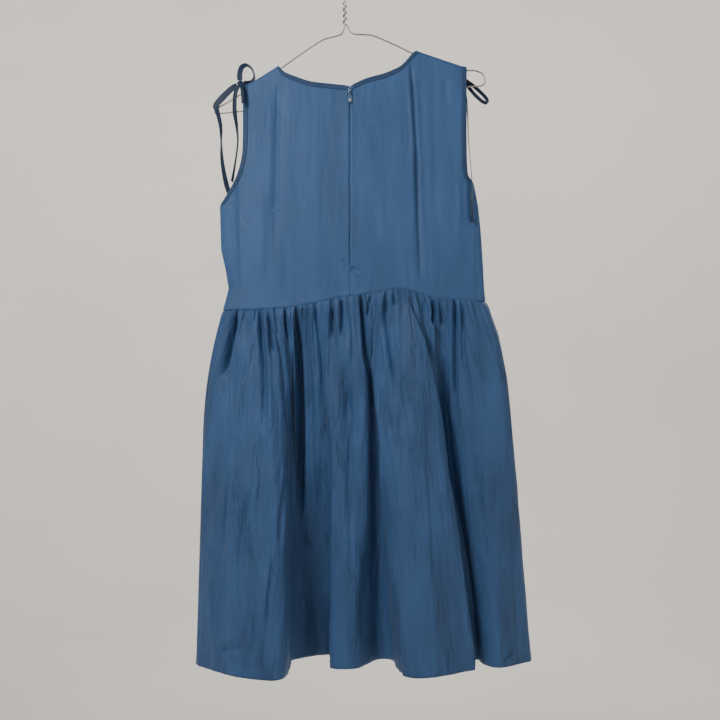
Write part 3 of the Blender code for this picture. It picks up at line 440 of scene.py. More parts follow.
def creased(x, z, creases):
    """How far creases push the cloth in: a narrow valley with a soft ridge on either side."""
    push = np.zeros_like(x)
    for depth, wide, *places in creases:
        route = smooth_route(places, 4) if len(places) > 2 else np.array(places, dtype=float)
        at = lengths_along(route)
        nearest = np.full(x.shape, 1e9)
        along = np.zeros_like(x)
        for k in range(len(route) - 1):
            step = route[k + 1] - route[k]
            share = ((x - route[k, 0]) * step[0] + (z - route[k, 1]) * step[1]) / step.dot(step)
            share = np.clip(share, 0, 1)
            away = np.hypot(x - route[k, 0] - share * step[0], z - route[k, 1] - share * step[1])
            closer = away < nearest
            nearest = np.where(closer, away, nearest)
            along = np.where(closer, at[k] + share * (at[k + 1] - at[k]), along)
        along = along / at[-1]
        fade = smooth_step(along * 5 + 0.25) * smooth_step((1 - along) * 3 + 0.1)
        off = nearest / wide
        push += depth * fade * (np.exp(-off * off) - 0.28 * np.exp(-(off - 2.1) ** 2))
    return push


def lapped(x, z, laps):
    """Lift of lapped folds: the cloth climbs to a fold's edge and drops steeply past it."""
    lift = np.zeros_like(x)
    for rise, drop, side, over, past, *places in laps:
        route = smooth_route(places, 4)
        order = np.argsort(route[:, 1])
        line = np.interp(z, route[order, 1], route[order, 0])
        top, low = route[:, 1].max(), route[:, 1].min()
        at_hem = 1.0 if low < HEM + 8 else 0.0
        ends = smooth_step((top - z) / 14 + 0.5) * smooth_step((z - low) / 50 + at_hem)
        off = side * (x - line)
        mix = smooth_step((off + 1.3) / 3.2)
        before = rise * np.exp(-np.abs(off) / over)
        after = -drop * np.exp(-np.abs(off) / past)
        lift += ends * (before * (1 - mix) + after * mix)
    return lift


def crinkles(u, w, seed, strength=1.0, parts=(0.6, 0.3, 0.4, 1.1)):
    """Fine uneven crinkles of the cloth, longer down the cloth than across it."""
    bend = 5 * lattice_noise(u / 60, w / 90, seed + 9)
    long_ones = 1 - 2 * np.abs(lattice_noise((u + bend) / 11, w / 130, seed)) ** 0.7
    short_ones = 1 - 2 * np.abs(lattice_noise((u + bend) / 5.5, w / 55, seed + 1)) ** 0.8
    slanted = lattice_noise((u + 0.45 * w) / 16, (w - 0.3 * u) / 34, seed + 2)
    slow = lattice_noise(u / 38, w / 150, seed + 3)
    patch = 0.6 + 0.4 * lattice_noise(u / 70, w / 110, seed + 4)
    return strength * (parts[0] * long_ones * patch + parts[1] * short_ones * patch
                       + parts[2] * slanted + parts[3] * slow)


# Meshes

def in_scene(name, data):
    """A new object that shows some data."""
    obj = bpy.data.objects.new(name, data)
    bpy.context.scene.collection.objects.link(obj)
    return obj


def ridden(name, mesh, body, *materials):
    """A smooth object of a mesh, with its materials, on a body of the frame."""
    mesh.shade_smooth()
    for material in materials:
        mesh.materials.append(bpy.data.materials[material])
    obj = in_scene(name, mesh)
    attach(obj, body)
    return obj


def mesh_of(work, name):
    """The mesh of a finished edit mesh."""
    mesh = bpy.data.meshes.new(name)
    work.to_mesh(mesh)
    work.free()
    return mesh


def faced_outwards(mesh):
    work = bmesh.new()
    work.from_mesh(mesh)
    bmesh.ops.recalc_face_normals(work, faces=work.faces)
    work.to_mesh(mesh)
    work.free()


def mesh_with_uvs(name, points, faces, uvs):
    """A mesh of points, with one UV place for each of them."""
    mesh = bpy.data.meshes.new(name)
    mesh.from_pydata((points * MM).tolist(), [], faces)
    layer = mesh.uv_layers.new(name="cloth")
    corner = np.empty(len(mesh.loops), dtype=np.int32)
    mesh.loops.foreach_get("vertex_index", corner)
    layer.data.foreach_set("uv", (uvs * MM)[corner].astype(np.float32).ravel())
    return mesh


def sheet_faces(rows, columns, start=0):
    """Faces of a grid of points, counted row by row."""
    i = np.arange((rows - 1) * columns).reshape(rows - 1, columns)[:, :-1].ravel() + start
    return np.stack([i, i + 1, i + 1 + columns, i + columns], axis=1)


def cloth_piece(name, points, uv, wall, material):
    """A thin closed shell whose outer face is a grid of points."""
    rows, columns = points.shape[:2]
    inner = points - grid_normals(points) * wall
    count = rows * columns
    faces = [sheet_faces(rows, columns), sheet_faces(rows, columns, count)[:, ::-1]]
    index = np.arange(count).reshape(rows, columns)
    for line in (index[0, ::-1], index[-1], index[:, 0], index[::-1, -1]):
        faces.append(np.stack([line[:-1], line[1:], line[1:] + count, line[:-1] + count], axis=1))
    both = np.concatenate([points.reshape(-1, 3), inner.reshape(-1, 3)])
    uvs = np.concatenate([uv.reshape(-1, 2)] * 2)
    shell = ridden(name, mesh_with_uvs(name, both, np.concatenate(faces).tolist(), uvs), BODY, material)
    shell.data.validate()
    return shell


def ring_faces(count, around, joined=False):
    """Faces between rings of points; joined also runs from the last ring to the first."""
    index = np.arange(count * around).reshape(count, around)
    if joined:
        index = np.vstack([index, index[:1]])
    following = np.roll(index, -1, axis=1)
    quads = np.stack([index[:-1], following[:-1], following[1:], index[1:]], axis=-1)
    return quads.reshape(-1, 4).tolist()


def ring_uvs(round_it, route):
    """UV places of rings: lengths round each ring, and along the route."""
    return np.stack(np.broadcast_arrays(round_it, lengths_along(route)[:, None]), axis=-1)


def loft(name, rings, uvs, material):
    """A closed skin over rings of points, with both ends capped."""
    count, around = rings.shape[:2]
    last = (count - 1) * around
    faces = ring_faces(count, around)
    faces += [list(range(around))[::-1], list(range(last, last + around))]
    mesh = mesh_with_uvs(name, rings.reshape(-1, 3), faces, uvs.reshape(-1, 2))
    faced_outwards(mesh)
    piece = ridden(name, mesh, BODY, material)
    mesh.set_sharp_from_angle(angle=math.radians(60))
    return piece


def directions_across(route):
    """Two directions across a route that don't twist along it."""
    along = unit(np.gradient(route, axis=0))
    side = np.cross(along[0], (0.0, 1.0, 0.0))
    if np.linalg.norm(side) < 0.1:
        side = np.cross(along[0], (1.0, 0.0, 0.0))
    sides = []
    for direction in along:
        side = unit(side - direction * side.dot(direction))
        sides.append(side)
    return np.array(sides), np.cross(along, sides)


def wire_piece(name, route, radius, material, around=12):
    """A round wire along a route."""
    side, other = directions_across(route)
    angle = np.linspace(0, 2 * math.pi, around, endpoint=False)
    rings = route[:, None, :] + radius * (np.cos(angle)[None, :, None] * side[:, None, :]
                                          + np.sin(angle)[None, :, None] * other[:, None, :])
    return loft(name, rings, ring_uvs(angle * radius, route), material)


# A folded strap's section: share of the half width, share of the half thickness
STRAP_SECTION = ((-1.0, 0.0), (-0.94, 0.75), (-0.72, 1.0), (-0.55, 0.72), (0.0, 0.8), (0.55, 0.72),
                 (0.72, 1.0), (0.94, 0.75), (1.0, 0.0), (0.94, -0.75), (0.72, -1.0), (0.0, -0.7),
                 (-0.72, -1.0), (-0.94, -0.75))


def strap_piece(name, points, widths, width, wall, cup=0.0, shares=(1, 1)):
    """A flat folded strap along a route; widths are the directions of its width at the route's points.

    shares say how wide it spreads along the route, against its own width.
    """
    if len(widths) not in (1, len(points)):
        raise ValueError(name + " needs one width direction, or one for each point")
    route = smooth_route(points, 8)
    across = smooth_route(list(widths) * (len(points) if len(widths) == 1 else 1), 8)
    along = unit(np.gradient(route, axis=0))
    across = unit(across - along * np.sum(across * along, axis=1, keepdims=True))
    face = np.cross(along, across)
    section = np.array(STRAP_SECTION)
    spread = np.interp(np.linspace(0, 1, len(route)), np.linspace(0, 1, len(shares)), shares)[:, None, None]
    rings = (route[:, None, :] + across[:, None, :] * section[None, :, :1] * width / 2 * spread
             + face[:, None, :] * (section[None, :, 1:] * wall / 2 + cup * section[None, :, :1] ** 2))
    return loft(name, rings, ring_uvs(section[:, 0] * width / 2, route), "strap cloth"), route


# Nodes

def fill(tree, node, values):
    """Sets a node's inputs, each to a value or to the socket that gives it."""
    for key, value in values.items():
        if isinstance(value, bpy.types.NodeSocket):
            tree.links.new(value, node.inputs[key])
        else:
            node.inputs[key].default_value = value
    return node


def add(tree, kind, values=(), **settings):
    """A new node with its settings and inputs."""
    node = tree.nodes.new(kind)
    for key, value in settings.items():
        setattr(node, key, value)
    return fill(tree, node, dict(values))


def number(tree, operation, *values):
    """A maths node: each value is a number or the socket that gives it."""
    return add(tree, "ShaderNodeMath", dict(enumerate(values)), operation=operation).outputs[0]


def new_sockets(tree, side, labels, kind="NodeSocketFloat"):
    for label in labels:
        tree.interface.new_socket(label, in_out=side, socket_type=kind)


# Repeats by Geometry Nodes: a small bead at even steps along a route

def repeat_tree(name, material):
    """A node group that sets small beads along a curve."""
    tree = bpy.data.node_groups.new(name, "GeometryNodeTree")
    new_sockets(tree, "INPUT", ["Geometry"], "NodeSocketGeometry")
    new_sockets(tree, "INPUT", ["Spacing", "Length", "Width", "Height", "Uneven"])
    new_sockets(tree, "OUTPUT", ["Geometry"], "NodeSocketGeometry")
    given = tree.nodes.new("NodeGroupInput").outputs
    points = add(tree, "GeometryNodeCurveToPoints", {
        "Curve": given["Geometry"], "Length": given["Spacing"]}, mode="LENGTH").outputs
    bead = add(tree, "GeometryNodeMeshUVSphere", {"Segments": 6, "Rings": 4, "Radius": 0.5})
    size = add(tree, "ShaderNodeCombineXYZ", {
        "X": given["Width"], "Y": given["Height"], "Z": given["Length"]})
    shaped = add(tree, "GeometryNodeTransform", {
        "Geometry": bead.outputs["Mesh"], "Scale": size.outputs["Vector"]})
    align = add(tree, "FunctionNodeAlignRotationToVector", {"Vector": points["Tangent"]}, axis="Z")
    # number inputs of the random node: 2 is the least, 3 the most
    turn = add(tree, "FunctionNodeRandomValue", {
        "Seed": 7, 2: number(tree, "MULTIPLY", given["Uneven"], -1.0), 3: given["Uneven"]},
        data_type="FLOAT").outputs[1]
    angles = add(tree, "ShaderNodeCombineXYZ", {"X": turn})
    tilt = add(tree, "FunctionNodeRotateRotation", {
        "Rotation": align.outputs["Rotation"], "Rotate By": angles.outputs["Vector"]},
        rotation_space="LOCAL")
    copies = add(tree, "GeometryNodeInstanceOnPoints", {
        "Points": points["Points"], "Instance": shaped.outputs["Geometry"],
        "Rotation": tilt.outputs["Rotation"]})
    real = add(tree, "GeometryNodeRealizeInstances", {"Geometry": copies.outputs["Instances"]})
    coloured = add(tree, "GeometryNodeSetMaterial", {
        "Geometry": real.outputs["Geometry"], "Material": bpy.data.materials[material]})
    add(tree, "NodeGroupOutput", {"Geometry": coloured.outputs["Geometry"]})
    return tree


def repeated(name, routes, material, **sizes_by_name):
    """One plain mesh of a bead repeated along routes; sizes fill the tree's inputs."""
    curve = bpy.data.curves.new(name + "_routes", "CURVE")
    curve.dimensions = "3D"
    for route in routes:
        line = curve.splines.new("POLY")
        line.points.add(len(route) - 1)
        flat = np.concatenate([route * MM, np.ones((len(route), 1))], axis=1)
        line.points.foreach_set("co", flat.astype(np.float32).ravel())
    guide = in_scene(name + "_routes", curve)
    tree = repeat_tree(name, material)
    modifier = guide.modifiers.new("repeat", "NODES")
    modifier.node_group = tree
    for item in tree.interface.items_tree:
        if item.in_out == "INPUT" and item.name in sizes_by_name:
            modifier[item.identifier] = float(sizes_by_name[item.name])
    graph = bpy.context.evaluated_depsgraph_get()
    mesh = bpy.data.meshes.new_from_object(guide.evaluated_get(graph), depsgraph=graph)
    mesh.name = name
    bpy.data.objects.remove(guide, do_unlink=True)
    return ridden(name, mesh, BODY)


# Materials

def stretched_noise(tree, place, scale, detail=3.0, roughness=0.55, twist=0.0):
    """Noise on a place, with its own number of cells a metre across and down the cloth."""
    turned = add(tree, "ShaderNodeMapping", {"Vector": place, "Scale": scale, "Rotation": (0, 0, twist)})
    return add(tree, "ShaderNodeTexNoise", {
        "Vector": turned.outputs["Vector"], "Scale": 1.0, "Detail": detail,
        "Roughness": roughness}).outputs["Fac"]


def crinkled_weave():
    """The cloth's own surface: plain weave, and fine crinkles that run down the cloth; its tone is partly
    uneven colour and partly painted shade of the crinkles.
    """
    tree = bpy.data.node_groups.new("crinkled weave", "ShaderNodeTree")
    new_sockets(tree, "INPUT", ["Crinkle"])
    new_sockets(tree, "OUTPUT", ["Height", "Tone and painted shade", "Shine"])
    start = tree.nodes.new("NodeGroupInput")
    place = add(tree, "ShaderNodeUVMap", uv_map="cloth").outputs["UV"]

    def maths(operation, *values):
        return number(tree, operation, *values)

    def plus(value, factor, rest):
        return maths("MULTIPLY_ADD", value, factor, rest)

    def times_to_one(value, factor):
        return maths("MINIMUM", maths("MULTIPLY", value, factor), 1.0)

    def near_middle(noise, factor):
        """Nought along the lines where a noise crosses its middle, one away from them."""
        return times_to_one(maths("ABSOLUTE", maths("SUBTRACT", noise, 0.5)), factor)

    fine = stretched_noise(tree, place, (170, 12, 1), 4.0, 0.6)
    wide = stretched_noise(tree, place, (30, 7, 1), 3.0, 0.5, 0.06)
    bent = stretched_noise(tree, place, (44, 5.5, 1), 4.0, 0.62, 0.08)
    slant = stretched_noise(tree, place, (46, 17, 1), 3.0, 0.6, 0.4)
    patch = stretched_noise(tree, place, (24, 9, 1), 2.0, 0.5)
    slow = stretched_noise(tree, place, (17, 6, 1), 3.0, 0.5, -0.08)
    # sharp creases in some patches only
    shown = maths("MINIMUM", maths("MAXIMUM", maths(
        "MULTIPLY", maths("SUBTRACT", patch, 0.49), 9.0), 0.0), 1.0)
    line = maths("MAXIMUM", near_middle(bent, 34.0), maths("SUBTRACT", 1.0, shown))
    crease = maths("MAXIMUM", near_middle(slant, 22.0), times_to_one(shown, 1.6))
    height = plus(crease, 0.06, plus(fine, 0.1, plus(line, 0.28, maths("MULTIPLY", wide, 3.6))))
    height = maths("MULTIPLY", height, start.outputs["Crinkle"])
    parts = add(tree, "ShaderNodeSeparateXYZ", {0: place})
    turns = 2 * math.pi / THREAD
    warp = maths("SINE", maths("MULTIPLY", parts.outputs["X"], turns))
    weft = maths("SINE", maths("MULTIPLY", parts.outputs["Y"], turns))
    height = plus(maths("MULTIPLY", maths("MULTIPLY", warp, weft), 0.25), 0.008, height)
    # tone: the slow noise is the cloth's own uneven colour; the wide and fine noise and the crease lines,
    # which also shape the relief, add painted shade, lighter on raised crinkles and darker along the crease
    # lines
    tone_and_shade = maths("SUBTRACT", plus(wide, 0.3, maths("MULTIPLY", slow, 0.95)), 0.16)
    tone_and_shade = plus(line, 0.05, plus(fine, 0.05, tone_and_shade))
    shine = plus(fine, 0.5, maths("MULTIPLY", wide, 0.5))
    add(tree, "NodeGroupOutput", {"Height": height, "Tone and painted shade": tone_and_shade, "Shine": shine})
    return tree


def blank_material(name, colour):
    """The node tree of a new material and its shader."""
    made = bpy.data.materials.new(name)
    made.use_nodes = True
    made.diffuse_color = (*colour, 1)
    return made.node_tree, made.node_tree.nodes["Principled BSDF"]


def toned(tree, factor, colour, low, high, places=(0.3, 0.7)):
    """A colour between a darker and a lighter share of itself."""
    node = add(tree, "ShaderNodeValToRGB", {"Fac": factor})
    for stop, place, share in zip(node.color_ramp.elements, places, (low, high)):
        stop.position = place
        stop.color = (*scaled(colour, share), 1)
    return node.outputs["Color"]


def uneven_surface(tree, shader, shine, rough, height, strength, distance):
    """Roughness that changes from place to place, and fine relief."""
    spread = add(tree, "ShaderNodeMapRange", {"Value": shine, "To Min": rough[0], "To Max": rough[1]})
    relief = add(tree, "ShaderNodeBump", {"Height": height, "Strength": strength, "Distance": distance})
    fill(tree, shader, {"Roughness": spread.outputs["Result"], "Normal": relief.outputs["Normal"]})


def scaled(colour, factor):
    return tuple(min(c * factor, 1.0) for c in colour)


# the default tones are the skirt's, set darker than the bodice's as painted shade of the gathers
def cloth_material(name, colour, weave, bump, crinkle=1.0, sheen=0.1, rough=(0.5, 0.68), tones=(0.74, 1.03)):
    tree, shader = blank_material(name, colour)
    group = add(tree, "ShaderNodeGroup", node_tree=weave)
    fill(tree, group, {"Crinkle": crinkle})
    cloth = group.outputs
    uneven_surface(tree, shader, cloth["Shine"], rough, cloth["Height"], bump, 0.004)
    fill(tree, shader, {
        "Base Color": toned(tree, cloth["Tone and painted shade"], colour, *tones, (0.34, 0.68)),
        "Sheen Weight": sheen, "Sheen Roughness": 0.45, "Sheen Tint": (0.62, 0.78, 1.0, 1),
        "Specular IOR Level": 0.3})


def metal_material(name, colour, metallic, rough, coat, grain):
    """Worn metal or paint: grain along the wire, darker in patches."""
    tree, shader = blank_material(name, colour)
    place = tree.nodes.new("ShaderNodeTexCoord").outputs["Object"]
    patches = stretched_noise(tree, place, (60, 60, 60), 4.0, 0.6)
    lines = stretched_noise(tree, place, grain, 3.0, 0.6)
    uneven_surface(tree, shader, lines, rough, lines, 0.15, 0.0002)
    fill(tree, shader, {"Base Color": toned(tree, patches, colour, 0.7, 1.2),
                        "Metallic": metallic, "Coat Weight": coat})


def floor_material(colour):
    tree, shader = blank_material("pale floor", colour)
    place = tree.nodes.new("ShaderNodeTexCoord").outputs["Object"]
    patches = stretched_noise(tree, place, (2, 2, 2))
    fill(tree, shader, {"Base Color": toned(tree, patches, colour, 0.97, 1.02), "Roughness": 0.9})


# Settings

def length_setting(name, about, default):
    return bpy.props.FloatProperty(name=name, description=about, default=default, unit="LENGTH")


def strength_setting(name, about, most):
    return bpy.props.FloatProperty(name=name, description=about, default=1.0, min=0, max=most)


def colour_setting(name, about, default):
    return bpy.props.FloatVectorProperty(name=name, description=about, subtype="COLOR", default=default)


class DressSizes(bpy.types.PropertyGroup):
    cloth_wall: length_setting("Cloth wall", "Thickness of the cloth shells", 0.0007)
    crinkle: strength_setting("Crinkle", "Strength of the fine crinkles", 3)
    gather: strength_setting("Gathers", "Strength of the gathers below the waist", 2)
    strap_width: length_setting("Strap width", "Width of the shoulder ties", 0.0065)
    strap_wall: length_setting("Strap thickness", "Thickness of the folded ties", 0.0011)
    wire: length_setting("Wire", "Diameter of the hanger's wire", 0.0024)
    stitch: length_setting("Stitch", "Length of one stitch", 0.0021)
    stitch_gap: length_setting("Stitch spacing", "Distance from stitch to stitch", 0.0027)
    tooth: length_setting("Zip pitch", "Distance from coil to coil of the zip", 0.0013)


class DressColours(bpy.types.PropertyGroup):
    cloth: colour_setting("Cloth", "Colour of the panels", (0.037, 0.093, 0.228))
    # the bound edges are of the panels' own cloth; this darker colour is painted shade under their rolled
    # fold
    binding: colour_setting("Bound edges", "Colour of the neck and armhole edges", (0.022, 0.057, 0.142))
    strap: colour_setting("Ties", "Colour of the shoulder ties", (0.012, 0.030, 0.070))
    thread: colour_setting("Thread", "Colour of the sewing", (0.045, 0.105, 0.21))
    wire: colour_setting("Wire", "Colour of the hanger", (0.36, 0.35, 0.34))
    paint: colour_setting("Zip paint", "Colour of the slider and pull", (0.060, 0.125, 0.230))
    floor: colour_setting("Floor", "Colour of the floor and backdrop", (0.80, 0.775, 0.73))


def sizes():
    return bpy.context.scene.dress_sizes


def colours():
    return bpy.context.scene.dress_colours


# Stage

def make_materials():
    shades = colours()
    weave = crinkled_weave()
    cloth = tuple(shades.cloth)
    paint = tuple(shades.paint)
    # the skirt's crinkled cloth has darker tones than the bodice's smooth cloth of the same colour: painted
    # shade of the gathers
    cloth_material("crinkled cloth", cloth, weave, 0.9)
    cloth_material("smooth cloth", cloth, weave, 0.6, 0.3, tones=(0.86, 1.08))
    # the bound edges' darker tones are painted shade under their rolled fold
    cloth_material("bound edge", tuple(shades.binding), weave, 0.5, 0.8, 0.2, (0.55, 0.75))
    cloth_material("strap cloth", tuple(shades.strap), weave, 0.4, 0.5, 0.2, (0.5, 0.7))
    cloth_material("zip tape cloth", scaled(cloth, 0.8), weave, 0.5, 0.2, 0.1, (0.7, 0.85))
    metal_material("thread", tuple(shades.thread), 0.0, (0.5, 0.7), 0.0, (900, 900, 900))
    metal_material("zip coil", scaled(paint, 1.2), 0.0, (0.3, 0.45), 0.1, (900, 900, 900))
    metal_material("zip paint", paint, 0.25, (0.18, 0.3), 0.6, (700, 700, 700))
    # pale metal for the oval in the middle of the pull: a painted highlight
    metal_material("worn pull face", (0.55, 0.6, 0.66), 0.9, (0.12, 0.25), 0.5, (700, 700, 700))
    metal_material("hanger wire", tuple(shades.wire), 0.85, (0.32, 0.5), 0.0, (800, 800, 90))
    floor_material(tuple(shades.floor))


def make_camera():
    data = bpy.data.cameras.new("camera")
    data.sensor_width = 36.0
    data.lens = data.sensor_width * VIEW_DISTANCE / FRAME_WIDTH
    data.clip_start = 0.05
    data.clip_end = 30
    camera = in_scene("camera", data)
    camera.location = (VIEW_CENTRE[0] * MM, -VIEW_DISTANCE * MM, VIEW_CENTRE[1] * MM)
    camera.rotation_euler = (math.radians(90), 0, 0)
    bpy.context.scene.camera = camera


def make_floor():
    """A round floor that curves up into a wall all round."""
    level, flat, bend, wall_top = -1.62, 2.2, 1.1, 2.2
    profile = [(0.0, level), (flat, level)]
    profile += [(flat + bend * math.sin(a), level + bend - bend * math.cos(a))
                for a in np.linspace(0.1, math.pi / 2, 12)]
    profile += [(flat + bend, 0.8), (flat + bend, wall_top)]
    work = bmesh.new()
    points = [work.verts.new((radius, 0, height)) for radius, height in profile]
    for pair in zip(points, points[1:]):
        work.edges.new(pair)
    bmesh.ops.spin(work, geom=work.verts[:] + work.edges[:], cent=(0, 0, 0), axis=(0, 0, 1),
                   angle=2 * math.pi, steps=96, use_duplicate=False)
    bmesh.ops.remove_doubles(work, verts=work.verts, dist=0.0001)
    bmesh.ops.recalc_face_normals(work, faces=work.faces)
    bmesh.ops.reverse_faces(work, faces=work.faces)
    mesh = mesh_of(work, "floor")
    mesh.shade_smooth()
    mesh.materials.append(bpy.data.materials["pale floor"])
    floor = in_scene("floor", mesh)


# Lights: name, place, aim, power, size, colour
LIGHTS = (
    ("key_light", (-0.78, -1.1, 0.3), (-0.05, 0, -0.48), 17.5, 0.4, (1.0, 0.98, 0.95)),
    ("fill_light", (2.2, -2.3, 0.3), (0.08, 0, -0.85), 20, 1.6, (0.96, 0.98, 1.0)),
    ("rim_light", (1.5, 1.5, 0.7), (0.02, 0, -0.6), 26, 0.7, (1.0, 1.0, 1.0)),
    ("wall_light_back", (0, 0.6, 1.0), (0, 3.3, 0.7), 66, 1.6, (1.0, 0.98, 0.96)),
    ("wall_light_front", (0, -0.6, 1.2), (0, -3.3, 0.9), 12, 1.6, (1.0, 0.98, 0.96)),
    ("wall_light_left", (-0.8, 0, 1.2), (-3.3, 0, 0.9), 10, 1.6, (1.0, 0.98, 0.96)),
    ("wall_light_right", (0.8, 0, 1.2), (3.3, 0, 0.9), 10, 1.6, (1.0, 0.98, 0.96)),
)


def make_lights():
    for name, place, aim, power, size, colour in LIGHTS:
        data = bpy.data.lights.new(name, "AREA")
        data.energy = power
        data.size = size
        data.color = colour
        light = in_scene(name, data)
        light.location = place
        light.rotation_euler = (Vector(aim) - Vector(place)).to_track_quat("-Z", "Y").to_euler()
        light.visible_camera = False
    world = bpy.data.worlds.new("soft light")
    world.use_nodes = True
    fill(world.node_tree, world.node_tree.nodes["Background"],
         {"Color": (0.93, 0.95, 1.0, 1), "Strength": 0.06})
    bpy.context.scene.world = world


# Hanger

HANGER_LEFT = ((-1.5, 0, -106), (-6, 0, -115), (-18, 0, -119), (-37, 0, -125), (-72, 0, -148),
               (-107, 0, -172.8), (-150, 0, -200.6), (-188, 0, -224), (-200, 0, -231),
               (-207, 0, -235.5), (-208.5, 0, -239.5), (-205, 0, -242.3), (-194, 0, -241.3))
HANGER_RIGHT = ((210, 0, -198.2), (219, 0, -197), (224, 0, -192), (223, 0, -184), (219, 0, -177.6),
                (208, 0, -173.2), (196, 0, -172.6), (184, 0, -170.4), (150, 0, -159),
                (114, 0, -148.2), (80, 0, -132), (46, 0, -117.5), (30, 0, -115.5), (14, 0, -114.5),
                (7, 0.5, -108))


def make_hanger():
    radius = 21.2
    hook = []
    for degrees in (205, 185, 160, 135, 110, 90, 65, 40, 15, -10, -32):
        angle = math.radians(degrees)
        hook.append((radius * math.cos(angle), 0, -20.0 + radius * math.sin(angle)))
    hook += [(13.5, 0, -38.5), (7, 0, -45), (1.5, 0, -51), (-0.5, 0, -56), (-0.5, 0, -62),
             (0, 0, -83), (-0.3, 0, -97)]
    bar = [(-90, 0, -229.6), (50, 0, -214.5), (194, 0, -199.2)]
    # the wire's end winds round the neck of the hook
    reach, rise, turned = 2.55, 35, 84
    twist = []
    for k in range(turned + 1):
        angle = math.radians(10) + 2 * math.pi * k / 24
        twist.append((reach * math.cos(angle), reach * math.sin(angle), -100 + rise * k / turned))
    route = np.vstack([smooth_route(hook + list(HANGER_LEFT) + bar + list(HANGER_RIGHT), 6), twist])
    wire = wire_piece("hanger", route, sizes().wire / MM / 2, "hanger wire")
    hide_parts("hanger_wire")


# Bodice

PIECES = {}            # points of the finished panels, by name
STITCH_ROUTES = []


def bodice_panel(name, edges, counts, creases, seed, rolled):
    """A bodice panel: its grid of points and where they lie on the cloth."""
    left, top, right, bottom = edges
    across = divisions(counts[0], counts[2])
    up = divisions(counts[1], 380)
    grid = coons(left, top, right, bottom, across, up)
    points = bodice_points(grid[..., 0], grid[..., 1])
    normals = grid_normals(points)
    to_left, to_right, to_low, to_top = edge_distances(points)
    x, z = points[..., 0], points[..., 2]
    hold = smooth_step(to_left / 10) * smooth_step(to_right / 10) * smooth_step(to_top / 12)
    near = smooth_step(to_left / 2.5) * smooth_step(to_right / 2.5) * smooth_step(to_top / 10)
    lift = -1.5 * creased(x, z, creases) * near
    if "back" in name:
        lift += lapped(x, z, BODICE_LAPS) * near
    fine = crinkles(x, z, seed, 0.55 * sizes().crinkle, (0.25, 0.3, 0.45, 0.55))
    lift += fine * hold * smooth_step(to_low / 8)
    # small puckers that the gathers draw up from the waist
    pull = 0.5 + 0.5 * lattice_noise(x / 5.5, z * 0 + 0.5, seed + 5)
    lift += 0.55 * pull * np.exp(-to_low / 11) * smooth_step(to_low / 2)
    # a low ridge along the waist seam
    lift += 0.35 * np.exp(-((to_low - 4.5) / 3.5) ** 2)
    # edges roll in at their seams, with a soft ridge beside them; below the zip the centre lies flatter
    below_zip = smooth_step((ZIP_END + 4 - z) / 6)
    for side, distance in (("left", to_left), ("right", to_right), ("low", to_low)):
        depth = rolled.get(side, 0.0)
        if depth > 1:
            depth = depth * (1 - 0.75 * below_zip)
        lift -= depth * (1 - smooth_step(distance / 1.9))
        lift += 0.2 * depth * np.exp(-((distance - 4.0) / 2.2) ** 2)
    points = points + normals * lift[..., None]
    PIECES[name] = points
    uv = np.stack([x if "back" in name else 1000 - x, z], axis=-1)
    shell = cloth_piece(name, points, uv, sizes().cloth_wall / MM, "smooth cloth")
    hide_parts(name.replace("cloth_", ""))
    return shell


def make_bodice():
    PIECES.clear()
    STITCH_ROUTES.clear()
    gap = SEAM / 200    # the seam's half space as an angle
    underarm = LEFT_SIDE[-1][1]
    low = read(WAIST, CENTRE_BACK, 1) + SEAM
    centre = ((CENTRE_BACK, low), (CENTRE_BACK, -200))
    left = cut_edge((LEFT_SIDE, SIDE_SHARE, False), (LEFT_ARMHOLE_BACK, ARMHOLE_SHARE, False))
    left.line[left.line[:, 1] < underarm, 0] = 0.0
    left.line[:, 0] += gap
    middle = cut_edge((centre, 1, False))
    middle.line[:, 0] -= gap
    top = cut_edge((LEFT_SHOULDER, 3, False), (NECK_BACK_LEFT, 6, False))
    bottom = waist_edge(left.line[0, 0], middle.line[0, 0], 1)
    panel = bodice_panel("cloth_bodice_back_left", (left, top, middle, bottom), (96, 150, 200),
                         BODICE_CREASES, 11, {"right": 1.2, "low": 0.8, "left": 0.5})
    right = cut_edge((RIGHT_SIDE, SIDE_SHARE, False), (RIGHT_ARMHOLE_BACK, ARMHOLE_SHARE, False))
    right.line[:, 0] -= gap
    middle = cut_edge((centre, 1, False))
    middle.line[:, 0] += gap
    top = cut_edge((RIGHT_SHOULDER, 3, False), (NECK_BACK_RIGHT, 6, False)).reversed()
    bottom = waist_edge(middle.line[0, 0], right.line[0, 0], 1)
    panel = bodice_panel("cloth_bodice_back_right", (middle, top, right, bottom), (96, 150, 200),
                         BODICE_CREASES, 23, {"left": 1.2, "low": 0.8, "right": 0.5})
    seam = cut_edge((RIGHT_SIDE, SIDE_SHARE, False), (RIGHT_ARMHOLE_FRONT, ARMHOLE_SHARE, True))
    seam.line[:, 0] += gap
    other = cut_edge((LEFT_SIDE, SIDE_SHARE, True), (LEFT_ARMHOLE_FRONT, ARMHOLE_SHARE, True))
    other.line[other.line[:, 1] < underarm, 0] = 2 * math.pi
    other.line[:, 0] = np.minimum(other.line[:, 0], 2 * math.pi) - gap
    top = cut_edge((LEFT_SHOULDER, 3, True), (NECK_FRONT, 11, True),
                   (RIGHT_SHOULDER[::-1], 3, True)).reversed()
    bottom = waist_edge(seam.line[0, 0], other.line[0, 0], 2)
    panel = bodice_panel("cloth_bodice_front", (seam, top, other, bottom), (170, 140, 420),
                         BODICE_FRONT_CREASES, 37, {"left": 0.5, "low": 0.8, "right": 0.5})


# Bound edges

# Section of a bound edge: distance from the cloth's edge, lift over the cloth
BINDING_SECTION = ((7.5, 0.15), (7.45, 0.7), (7.0, 0.95), (5.8, 0.95), (5.4, 0.75), (4.0, 0.95),
                   (2.0, 1.1), (0.4, 1.1), (-0.45, 0.75), (-0.7, -0.1), (-0.45, -1.0), (0.5, -1.5),
                   (3.0, -1.45), (6.6, -1.35), (7.0, -1.1), (6.6, -0.85), (4.0, -0.8), (4.0, 0.05))


